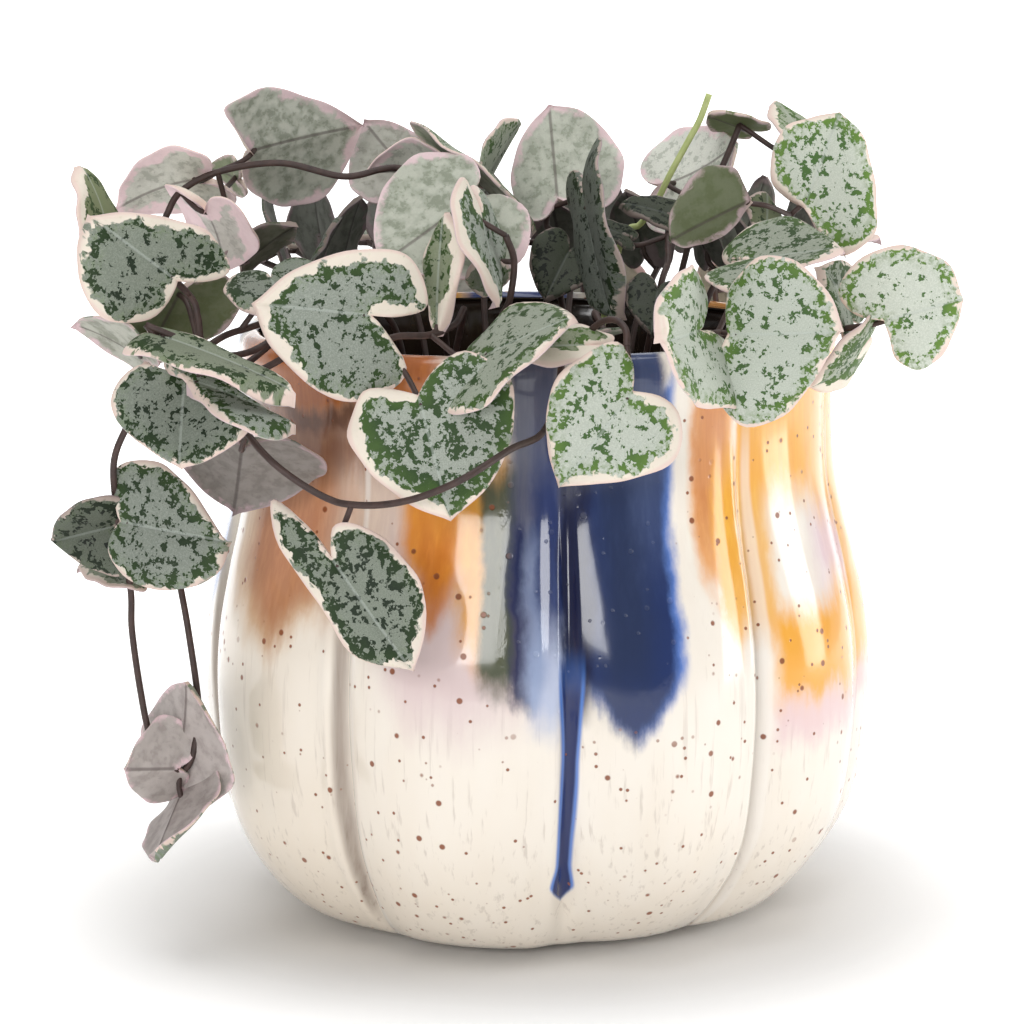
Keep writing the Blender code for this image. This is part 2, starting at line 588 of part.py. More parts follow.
holes = bpy.data.collections.new("root_holes")
bpy.context.scene.collection.children.link(holes)
for name, spec in plant.items():
    x, y = spec["root"]
    bpy.ops.mesh.primitive_cylinder_add(
        vertices=8,
        radius=HOLE_R * MM,
        depth=2 * (ROOT_DEPTH + 0.4) * MM,
        location=(x * MM, y * MM, SOIL_TOP * MM),
    )
    drill = bpy.context.object
    drill.name = name + "_hole"
    for coll in list(drill.users_collection):
        coll.objects.unlink(drill)
    holes.objects.link(drill)
cut = soil.modifiers.new("root holes", "BOOLEAN")
cut.operation = "DIFFERENCE"
cut.operand_type = "COLLECTION"
cut.collection = holes
cut.solver = "MANIFOLD"
soil_mesh = settled(soil)
bpy.data.objects.remove(soil)
for drill in list(holes.objects):
    bpy.data.objects.remove(drill)
bpy.data.collections.remove(holes)
place("soil", soil_mesh, earth)

for name, spec in plant.items():
    strand(name, spec, green)
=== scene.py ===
"""A string of hearts trailing from a lobed, glazed pot, dressed over its CAD model."""
import math
import random

import bmesh
import bpy
import numpy as np
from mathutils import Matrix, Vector


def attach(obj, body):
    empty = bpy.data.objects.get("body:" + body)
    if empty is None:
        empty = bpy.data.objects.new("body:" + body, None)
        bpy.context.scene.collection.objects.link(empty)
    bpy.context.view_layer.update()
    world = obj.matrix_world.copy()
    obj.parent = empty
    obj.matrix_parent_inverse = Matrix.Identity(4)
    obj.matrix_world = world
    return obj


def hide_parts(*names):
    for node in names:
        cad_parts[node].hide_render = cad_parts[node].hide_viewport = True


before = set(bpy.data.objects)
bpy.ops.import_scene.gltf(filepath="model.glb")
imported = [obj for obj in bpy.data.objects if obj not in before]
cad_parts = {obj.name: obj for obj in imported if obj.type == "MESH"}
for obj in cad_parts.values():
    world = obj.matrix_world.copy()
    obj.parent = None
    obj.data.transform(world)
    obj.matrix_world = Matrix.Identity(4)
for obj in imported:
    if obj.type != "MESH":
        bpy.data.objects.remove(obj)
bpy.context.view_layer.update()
scene = bpy.context.scene

# The pot: thrown clay with nine lobes pressed in from outside, a rolled lip and a flat foot.
# It is dipped in a cream glaze full of iron specks, and blue, ochre and rust glazes are
# poured from the lip and run down in tongues and one long drip.
MM = 0.001
# Azimuths of the grooves in degrees, from the front towards the right, and back to the first.
GROOVES = np.array([-80.0, -35, 5, 41, 76, 116, 156, 195, 236, 280])
# The share of the radius by which each lobe draws in at the foot, up to TUCK_TOP.
TUCK = np.array([0.03, 0.0, 0.09, 0.08, 0.03, 0.05, 0.02, 0.04, 0.06])
TUCK_TOP = 20.0
TUCK_EASE = 0.2
LOBES = len(TUCK)
# Height and radius of the wall, outside from the foot to the lip and inside back down.
OUTER = np.array([
    (0.0, 26.0), (0.7, 30.0), (2.8, 36.7), (8.4, 42.0), (15.4, 45.5), (23.8, 47.3), (33.6, 47.9),
    (42.0, 47.3), (50.4, 45.5), (56.0, 44.0), (61.6, 42.7), (67.2, 42.1), (74.0, 41.9),
    (80.0, 42.3), (82.2, 41.8), (83.0, 40.6),
])
INNER = np.array([
    (82.4, 39.3), (80.0, 38.6), (72.0, 38.2), (60.0, 38.9), (45.0, 42.2), (30.0, 43.5),
    (15.0, 41.0), (7.5, 34.0), (6.0, 27.0),
])
# Height, and the share of the radius that a groove takes there.
GROOVE_DEPTH = np.array([
    (0, 0.02), (3, 0.05), (9, 0.07), (25, 0.07), (42, 0.055), (60, 0.035), (83, 0.015),
])
# The line cut along a groove and the ridge beside it: shares of the radius, and degrees.
CREASE, CREASE_WIDE = 0.020, 1.1
RIDGE, RIDGE_WIDE, RIDGE_OFF = 0.014, 1.4, 2.6
FIRST_AZIMUTH = -80
COLUMNS = 400
OUTER_ROWS, INNER_ROWS = 150, 62
INNER_SHARE = 0.5
# The glaze reads the height in units of V_SPAN, and INSIDE_V marks the unpoured inside.
V_SPAN = 100.0
INSIDE_V = 0.9


def spline(a, b, c, d, t):
    """A Catmull-Rom spline: from b to c as t goes from 0 to 1, with a before and d after."""
    return 0.5 * (2 * b + (c - a) * t + (2 * a - 5 * b + 4 * c - d) * t ** 2
                  + (3 * b - a - 3 * c + d) * t ** 3)


def padded(points):
    """The points with one more at either end, straight on."""
    return np.vstack([2 * points[0] - points[1], points, 2 * points[-1] - points[-2]])


def steps_of(points):
    """The distance from each point to the next."""
    return np.linalg.norm(np.diff(points, axis=0), axis=1)


def along(points, count):
    """A spline through the points, sampled evenly by length."""
    p = np.asarray(points, float)
    q = padded(p)
    t = np.linspace(0, 1, 24, endpoint=False)[None, :, None]
    a, b, c, d = (q[i:len(q) - 3 + i, None, :] for i in range(4))
    run = spline(a, b, c, d, t)
    run = np.vstack([run.reshape(-1, p.shape[1]), p[-1]])
    far = np.concatenate([[0], np.cumsum(steps_of(run))])
    want = np.linspace(0, far[-1], count)
    return np.stack([np.interp(want, far, run[:, k]) for k in range(p.shape[1])], 1)


def eased(t):
    """A smooth step: 0 at 0, 1 from TUCK_EASE on."""
    t = np.clip(t / TUCK_EASE, 0, 1)
    return t ** 2 * (3 - 2 * t)


def lobed(azimuth, z, share):
    """How far the wall stands out: 1 on a lobe's crown, less towards a groove.

    The fall is the square of the distance from the crown, so two lobes meet in a crease.
    Near the foot each lobe draws in by its own tuck. A fine crease is cut along the
    groove, with a low ridge beside it.
    """
    k = np.clip(np.searchsorted(GROOVES, azimuth, side="right") - 1, 0, LOBES - 1)
    width = GROOVES[k + 1] - GROOVES[k]
    t = (azimuth - GROOVES[k]) / width
    depth = np.interp(z, GROOVE_DEPTH[:, 0], GROOVE_DEPTH[:, 1])
    out = 1 - share * depth * (2 * t - 1) ** 2
    low = np.clip(1 - z / TUCK_TOP, 0, 1) ** 2
    before = TUCK[(k - 1) % LOBES]
    after = TUCK[(k + 1) % LOBES]
    mid = TUCK[k]
    rise, fall = eased(t), eased(1 - t)
    tuck = np.where(t < 0.5, 0.5 * (before + mid) * (1 - rise) + mid * rise,
                    0.5 * (after + mid) * (1 - fall) + mid * fall)
    out = out - tuck * low
    off = np.minimum(t, 1 - t) * width
    side = np.where(t < 0.5, off, -off)
    body = np.clip((z - 2) / 10, 0, 1) * np.clip((80 - z) / 25, 0, 1)
    crease = CREASE * np.exp(-(off / CREASE_WIDE) ** 2)
    ridge = RIDGE * np.exp(-((side + RIDGE_OFF) / RIDGE_WIDE) ** 2)
    return out + share * body * (ridge - crease)


def grid_faces(rows, cols, closed_across=True):
    """The rows and columns of a grid's faces, and the numbers of their four corners."""
    last = cols if closed_across else cols - 1
    i, j = np.meshgrid(np.arange(rows - 1), np.arange(last), indexing="ij")
    n = (j + 1) % cols
    quads = np.stack([i * cols + j, i * cols + n, (i + 1) * cols + n, (i + 1) * cols + j], -1)
    return i, j, quads.reshape(-1, 4)


def grid_mesh(name, points, closed_across=True, uv=None):
    """A mesh from a grid of points, rows by columns, wound so that its faces look out.

    uv holds one height for each row; across, the map runs once round the columns.
    """
    cols = points.shape[1]
    i, j, quads = grid_faces(*points.shape[:2], closed_across)
    mesh = bpy.data.meshes.new(name)
    mesh.from_pydata(points.reshape(-1, 3) * MM, [], quads.tolist())
    if uv is not None:
        layer = mesh.uv_layers.new(name="place")
        u = np.stack([j, j + 1, j + 1, j], -1).reshape(-1) / cols
        v = np.stack([uv[i], uv[i], uv[i + 1], uv[i + 1]], -1).reshape(-1)
        layer.data.foreach_set("uv", np.stack([u, v], 1).ravel())
    mesh.shade_smooth()
    return mesh


def piece(name, mesh, *materials):
    """An object of the plant, which stands where the part stands."""
    ob = bpy.data.objects.new(name, mesh)
    scene.collection.objects.link(ob)
    for m in materials:
        mesh.materials.append(m)
    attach(ob, "root")
    return ob


def weld(mesh):
    """Merges the doubled points at poles and ends, so that the skin is closed."""
    bm = bmesh.new()
    bm.from_mesh(mesh)
    bmesh.ops.remove_doubles(bm, verts=bm.verts[:], dist=2e-7)
    bmesh.ops.dissolve_degenerate(bm, edges=bm.edges[:], dist=1e-8)
    bm.to_mesh(mesh)
    bm.free()
    return mesh


azimuth = FIRST_AZIMUTH + 360 * np.arange(COLUMNS) / COLUMNS
outer = along(OUTER, OUTER_ROWS)
inner = along(INNER, INNER_ROWS)
lip = along(np.vstack([OUTER[-2:], INNER[:2]]), 16)[5:-5]
under_foot = np.array([[0.0, 0.01], [0.0, 12.0], [0.0, 20.0]])
profile = np.vstack([under_foot, outer, lip, inner, [6.0, 14.0], [6.0, 0.01]])
row_count = len(profile)
lip_row = len(under_foot) + len(outer)
share = np.interp(np.arange(row_count), [0, lip_row - 1, lip_row + len(lip), row_count],
                  [1, 1, INNER_SHARE, INNER_SHARE])
A, Z = np.meshgrid(azimuth, profile[:, 0])
radius = profile[:, 1:2] * lobed(A, Z, share[:, None])
rng = np.random.default_rng(3)
for k in range(1, 6):
    # hand-made: a few tenths of a millimetre of slow swelling round and up the wall
    rise, phase = rng.uniform(0.02, 0.09), rng.uniform(0, 6.28)
    radius = radius * (1 + 0.0022 / k * np.sin(k * np.radians(A) + rise * Z + phase))
# and the lip isn't quite level
lift = 0.35 * np.sin(np.radians(A) * 2 + 0.6) * np.clip((Z - 70) / 13, 0, 1)
# azimuth 0 is the front, -Y
B = np.radians(A - 90)
pot_points = np.stack([radius * np.cos(B), radius * np.sin(B), Z + lift], -1)
glazed_rows = lip_row + 2 * len(lip) // 3
up = np.where(np.arange(row_count) < glazed_rows, profile[:, 0] / V_SPAN, INSIDE_V)
pot_mesh = weld(grid_mesh("glazed_pot", pot_points, uv=up))


class Sum:
    """A shader socket that adds and multiplies like a number."""

    def __init__(self, tree, socket):
        self.tree = tree
        self.socket = socket

    def math(self, operation, *values):
        node = self.tree.nodes.new("ShaderNodeMath")
        node.operation = operation
        for slot, value in zip(node.inputs, values):
            feed(self.tree, slot, value)
        return Sum(self.tree, node.outputs[0])

    def __add__(self, other):
        return self.math("ADD", self, other)

    def __mul__(self, other):
        return self.math("MULTIPLY", self, other)

    def __sub__(self, other):
        return self.math("SUBTRACT", self, other)

    def __rsub__(self, other):
        return self.math("SUBTRACT", other, self)

    __radd__ = __add__
    __rmul__ = __mul__

    def __abs__(self):
        return self.math("ABSOLUTE", self)

    def most(self, other):
        return self.math("MAXIMUM", self, other)


def feed(tree, slot, value):
    """Links a socket to a slot, or sets the slot to a number, a vector or a colour."""
    if isinstance(value, Sum):
        tree.links.new(value.socket, slot)
    elif isinstance(value, tuple):
        is_colour = len(slot.default_value) == 4 and len(value) == 3
        slot.default_value = (*value, 1.0) if is_colour else value
    else:
        slot.default_value = value


class Finish:
    """One material: its node tree, with a method for each sort of node it uses."""

    def __init__(self, name, **constants):
        self.material = bpy.data.materials.new(name)
        self.material.use_nodes = True
        self.tree = self.material.node_tree
        self.shader = self.tree.nodes["Principled BSDF"]
        for slot, value in constants.items():
            self.shader.inputs[slot.replace("_", " ")].default_value = value

    def node(self, kind, settings=None, out=0, **inputs):
        """A node's output; an input goes by its name, or by its number as i0, i1 and so on."""
        node = self.tree.nodes.new(kind)
        for key, value in (settings or {}).items():
            setattr(node, key, value)
        for key, value in inputs.items():
            numbered = key[0] == "i" and key[1:].isdigit()
            feed(self.tree, node.inputs[int(key[1:]) if numbered else key], value)
        return Sum(self.tree, node.outputs[out])

    def smooth(self, x, low, high):
        return self.node("ShaderNodeMapRange", {"interpolation_type": "SMOOTHSTEP"},
                         i0=x, i1=low, i2=high, i3=0.0, i4=1.0)

    def mix(self, factor, a, b, blend="MIX"):
        settings = {"data_type": "RGBA", "blend_type": blend, "clamp_factor": True}
        return self.node("ShaderNodeMix", settings, out=2, i0=factor, i6=a, i7=b)

    def place(self):
        return self.node("ShaderNodeTexCoord", out=3)

    def scaled(self, vector, by):
        return self.node("ShaderNodeVectorMath", {"operation": "MULTIPLY"}, i0=vector, i1=by)

    def noise(self, vector, scale, detail=3.0, rough=0.5):
        return self.node("ShaderNodeTexNoise", {"noise_dimensions": "3D"}, out=0,
                         Vector=vector, Scale=scale, Detail=detail, Roughness=rough)

    def cells(self, vector, scale):
        """The distance to the middle of the nearest cell."""
        return self.node("ShaderNodeTexVoronoi", Vector=vector, Scale=scale)

    def cell_shade(self, vector, scale, channel):
        """One random value for each cell; each channel of its colour has its own."""
        shade = self.node("ShaderNodeTexVoronoi", out=1, Vector=vector, Scale=scale)
        return self.node("ShaderNodeSeparateColor", out=channel, i0=shade)

    def attribute(self, name):
        return self.node("ShaderNodeAttribute", {"attribute_name": name}, out=2)

    def wear(self, colour, rough=None, bump=None, strength=0.3, distance=0.0005):
        """Puts colour, roughness and relief on the surface."""
        feed(self.tree, self.shader.inputs["Base Color"], colour)
        if rough is not None:
            feed(self.tree, self.shader.inputs["Roughness"], rough)
        if bump is not None:
            normal = self.node("ShaderNodeBump", Strength=strength, Distance=distance, Height=bump)
            feed(self.tree, self.shader.inputs["Normal"], normal)


def tone(r, g, b):
    """Linear colour from the 0 to 255 values of a display."""
    return tuple(((c / 255 + 0.055) / 1.055) ** 2.4 if c > 10 else c / 255 / 12.92
                 for c in (r, g, b))


glaze = Finish("poured_glaze", Coat_Weight=0.3, Coat_Roughness=0.04, IOR=1.48)
spot = glaze.place()
uv = glaze.node("ShaderNodeUVMap", {"uv_map": "place"})
# azimuth in degrees and height in millimetres, straight and (_w) wandering
turn = glaze.node("ShaderNodeSeparateXYZ", out=0, i0=uv) * 360.0 + FIRST_AZIMUTH
high = glaze.node("ShaderNodeSeparateXYZ", out=1, i0=uv) * V_SPAN
slow = glaze.noise(glaze.scaled(spot, (1, 1, 0.35)), 160.0, 2.0)
quick = glaze.noise(glaze.scaled(spot, (1, 1, 0.5)), 700.0, 3.0, 0.6)
streak = glaze.noise(glaze.scaled(spot, (1, 1, 0.06)), 1100.0, 3.0, 0.6)
fine = glaze.noise(spot, 2600.0, 2.0)
turn_w = turn + (slow - 0.5) * 4.0 + (quick - 0.5) * 1.6
high_w = high + (slow - 0.5) * 9.0 + (quick - 0.5) * 3.0 + (streak - 0.5) * 1.6


def pour(a0, a1, low, top, edge, foot, slant):
    """A poured patch: between two azimuths, down to a wandering lower edge.

    top is its upper edge, or None for the lip. edge and foot say how softly it fades at
    its sides and ends. slant raises the lower edge away from the middle, which makes a
    tongue.
    """
    h = high_w
    mask = glaze.smooth(turn_w, a0 - edge, a0 + edge) * glaze.smooth(turn_w, a1 + edge, a1 - edge)
    if slant:
        h = h - abs(turn - 0.5 * (a0 + a1)) * slant
    mask = mask * glaze.smooth(h, low - foot, low + foot)
    if top is not None:
        mask = mask * glaze.smooth(h, top + foot, top - foot)
    return mask


def freckles(scale, channel, size, chosen):
    """Round specks: the cores of the cells whose random shade is above chosen."""
    core = glaze.smooth(glaze.cells(spot, scale), size, 0.10)
    return core * glaze.smooth(glaze.cell_shade(spot, scale, channel), chosen, chosen + 0.04)


# the dipped coat, with brown lees in streaks; painted shade makes it darker and warmer low down and on
# the left
cream = glaze.mix(slow, tone(248, 242, 233), tone(240, 229, 214))
# painted shade: darker towards the foot, then darker on the left side, away from the light
cream = glaze.mix(glaze.smooth(high, 34.0, 2.0) * 0.25, cream, tone(222, 206, 182))
cream = glaze.mix(glaze.smooth(turn, 0.0, -70.0) * 0.35, cream, tone(226, 206, 180))
lees = glaze.smooth(streak, 0.56, 0.72) * glaze.smooth(high, 60.0, 20.0)
skin = glaze.mix(lees * 0.35, cream, tone(176, 160, 146))
# What pour() takes, then the colour and its strength; later ones lie over earlier ones.
POURS = (
    (-68, -35, 42, None, 3, 4, .5, (214, 172, 128), .8),
    (-62, -38, 44, None, 3, 4, .7, (180, 122, 84), .9),
    (-60, -40, 52, 66, 4, 6, 0, (196, 136, 104), .7),
    (-41, -20, 48, None, 3, 7, 0, (214, 184, 166), .75),
    (-27, 1, 34, 56, 4, 6, .3, (222, 200, 200), .9),
    (-80, -18, 75.5, None, 3, 2, 0, (186, 104, 46), .95),
    (-80, -20, 72.5, 75.5, 2, 1.2, 0, (92, 52, 34), .8),
    (-80, -20, 66, 73, 2, 4, 0, (134, 88, 70), .75),
    (-25, -10, 51, 74, 2.4, 4, .5, (228, 142, 44), .97),
    (-21, -15, 47, 58, 2, 3, 1.2, (206, 118, 44), .8),
    (-14, -5, 43, 70, 1.6, 4, .4, (226, 158, 60), .92),
    (-10, -3.5, 39, 68, 1.2, 3, .6, (78, 86, 66), .97),
    (-5, 4.5, 52, None, 1.6, 5, 0, (64, 70, 98), .95),
    (-4.5, .8, 37, 60, 1.2, 2, .8, (18, 30, 76), .95),
    (-2, 6, 35, 58, 1.6, 4, .4, (168, 184, 218), .8),
    (-1, 8, 46, 72, 1.6, 5, .3, (34, 50, 100), .95),
    (7.5, 24.5, 32.5, 71, 1.2, 2.2, 1.1, (40, 108, 200), .9),
    (8, 23, 32, None, 1.2, 2.6, 1.3, (26, 44, 92), .97),
    (11, 19, 40, 70, 3, 7, 0, (38, 50, 78), .7),
    (17, 23, 58, None, 2, 8, 0, (72, 86, 122), .6),
    (4, 9.4, 38, 74, 1, 4, .6, (12, 20, 58), .97),
    (29, 38.5, 50, None, 1.6, 4, .9, (232, 158, 84), .9),
    (30, 36, 60, 82, 1.6, 5, 0, (196, 120, 66), .7),
    (33, 39, 44, 66, 1.2, 4, 1.2, (240, 172, 60), .9),
    (40, 84, 62, None, 1.4, 5, 0, (240, 168, 56), .95),
    (40.5, 46, 44, 66, 1.8, 4, .6, (238, 176, 80), .85),
    (62, 86, 34, 66, 3, 5, 0, (240, 172, 66), .9),
    (44, 88, 35, 48, 2.4, 3, 0, (242, 168, 44), .95),
    (44, 88, 30.5, 36, 2.4, 2.5, 0, (230, 198, 200), .8),
    (58, 76, 49, 59, 4, 4, 0, (222, 192, 204), .8),
    (96, 112, 40, None, 2, 4, .8, (46, 70, 136), .95),
    (100, 107, 34, 62, 1.6, 3, 1, (20, 34, 84), .95),
    (112, 130, 52, None, 2.4, 4, .3, (90, 100, 130), .85),
    (128, 150, 44, None, 2.4, 5, .6, (230, 150, 56), .9),
    (150, 168, 55, None, 2.4, 5, .3, (184, 124, 84), .85),
    (172, 196, 38, None, 2, 4, .9, (44, 68, 134), .95),
    (178, 188, 46, 70, 2.4, 5, .5, (24, 38, 92), .9),
    (196, 214, 50, None, 2.4, 4, .4, (234, 162, 66), .9),
    (214, 240, 58, None, 3, 5, .3, (182, 124, 88), .85),
    (240, 262, 44, None, 2.4, 4, .8, (236, 164, 62), .9),
    (264, 277, 42, None, 2, 3, .7, (76, 118, 184), .9),
)
for a0, a1, low, top, edge, foot, slant, colour, strength in POURS:
    skin = glaze.mix(pour(a0, a1, low, top, edge, foot, slant) * strength, skin, tone(*colour))
milky = glaze.smooth(streak, 0.4, 0.7) * glaze.smooth(high, 38.0, 60.0) * 0.25
skin = glaze.mix(milky, skin, tone(255, 246, 232), "SOFT_LIGHT")
# the long drip, a dark bead with a brighter seam round it
drip_axis = glaze.smooth(high, 8.0, 40.0) * 1.2 + 4.3
drip_wide = 1.25 + glaze.smooth(high, 16.0, 12.0) * 0.75 + glaze.smooth(high, 30.0, 44.0) * 0.8
across = abs(turn + (slow - 0.5) * 0.8 - drip_axis)
drip_foot = glaze.smooth(high - across * 0.9, 9.6, 10.6) * glaze.smooth(high, 46.0, 38.0)
seam = glaze.smooth(across, drip_wide + 0.6, drip_wide) * drip_foot
skin = glaze.mix(seam * 0.9, skin, tone(64, 122, 208))
drip = glaze.smooth(across, drip_wide, drip_wide - 0.5) * drip_foot
skin = glaze.mix(drip, skin, tone(22, 40, 96))
# painted brown shade just left of each groove, and a paler line just right of it; the drip covers the
# groove at 5
low_wall = glaze.smooth(high, 58.0, 40.0) * glaze.smooth(high, 3.0, 9.0)
below_lip = glaze.smooth(high, 78.0, 66.0)
for groove in (-35.0, 41.0, 76.0, 116.0, 156.0, 195.0, 236.0, 279.5):
    off = turn + (slow - 0.5) * 1.2 - groove
    # painted shade along the left side of the groove
    groove_shade = glaze.smooth(abs(off + 1.0), 1.6, 0.2) * low_wall * (streak * 0.5 + 0.5)
    skin = glaze.mix(groove_shade * 0.9, skin, tone(118, 98, 86))
    pale = glaze.smooth(abs(off - 1.6), 1.3, 0.4) * below_lip
    skin = glaze.mix(pale * 0.5, skin, tone(250, 244, 236))
# iron specks, which the blue glaze hides
specks = freckles(330.0, 0, 0.17, 0.50).most(freckles(620.0, 1, 0.19, 0.60))
blue_part = glaze.smooth(turn, -8.0, -4.0) * glaze.smooth(turn, 26.0, 22.0)
blue_part = blue_part * glaze.smooth(high, 30.0, 38.0)
skin = glaze.mix(specks * 0.95 * (1.0 - blue_part), skin, tone(136, 68, 22))
# the bare inside, coloured dark brown, darker than the clay: painted shade under the plant
inside_painted_shade = glaze.smooth(high, 86.0, 88.0)
skin = glaze.mix(inside_painted_shade, skin, glaze.mix(slow, tone(52, 40, 32), tone(34, 26, 22)))
shine = 0.1 + specks * 0.3 + fine * 0.05
relief = drip * 0.6 + slow * 0.5 - specks * 0.25 + pour(-6, 24, 34, None, 1.0, 2.0, 0.6) * 0.5
glaze.wear(colour=skin, rough=shine, bump=relief, strength=0.35, distance=0.0006)
pot = piece("glazed_pot", pot_mesh, glaze.material)
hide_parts("pot")

# The soil: dark peat and bark, filled to a finger's width under the lip. Its top is
# crumbly, and its side follows the pot's inner wall. The strands root in it.
SOIL_TOP = 71.0
SOIL_COLUMNS = 240
SOIL_RINGS = np.concatenate([np.linspace(0.0, 37.6, 60), [37.8]])
CRUMBLY_RADIUS = 37.0
# Height and radius of its side, from the top down to the middle of its flat bottom.
SOIL_SIDE = np.array([
    (69.5, 37.9), (60.0, 38.5), (45.0, 41.8), (30.0, 43.1), (15.0, 40.6), (7.6, 33.6),
    (6.4, 26.4), (6.4, 0.0),
])
soil_top = np.stack([np.full(len(SOIL_RINGS), SOIL_TOP), SOIL_RINGS], 1)
soil_rows = np.vstack([soil_top, SOIL_SIDE])[::-1]
soil_azimuth = FIRST_AZIMUTH + 360 * np.arange(SOIL_COLUMNS) / SOIL_COLUMNS
A, Z = np.meshgrid(soil_azimuth, soil_rows[:, 0])
reach = soil_rows[:, 1:2] * (1 + INNER_SHARE * (lobed(A, Z, 1.0) - 1))
B = np.radians(A - 90)
X, Y = reach * np.cos(B), reach * np.sin(B)
top = (np.arange(len(soil_rows)) >= len(SOIL_SIDE) - 1)[:, None] * (reach < CRUMBLY_RADIUS)
rough = np.zeros_like(X)
for _ in range(26):
    # crumbs: many small waves in random directions, kept under a millimetre
    f, g, phase = rng.uniform(0.5, 3.2), rng.uniform(0, 6.28), rng.uniform(0, 6.28)
    rough += 0.16 * np.sin(f * (X * np.cos(g) + Y * np.sin(g)) + phase)
soil_mesh = weld(grid_mesh("peat", np.stack([X, Y, Z + rough * top], -1)))
peat = Finish("peat_and_bark", Roughness=0.95)
spot = peat.place()
grain = peat.noise(spot, 900.0, 5.0, 0.7)
crumb = peat.cells(spot, 520.0)
# dark peat, coloured darker still, near black: painted shade under the leaves
peat_and_painted_shade = peat.mix(grain, tone(14, 11, 9), tone(40, 31, 24))
peat_and_painted_shade = peat.mix(peat.smooth(crumb, 0.35, 0.1) * 0.5, peat_and_painted_shade, tone(54, 42, 32))
peat.wear(colour=peat_and_painted_shade, bump=grain + crumb, strength=0.8, distance=0.0012)
soil = piece("peat", soil_mesh, peat.material)
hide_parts("soil")

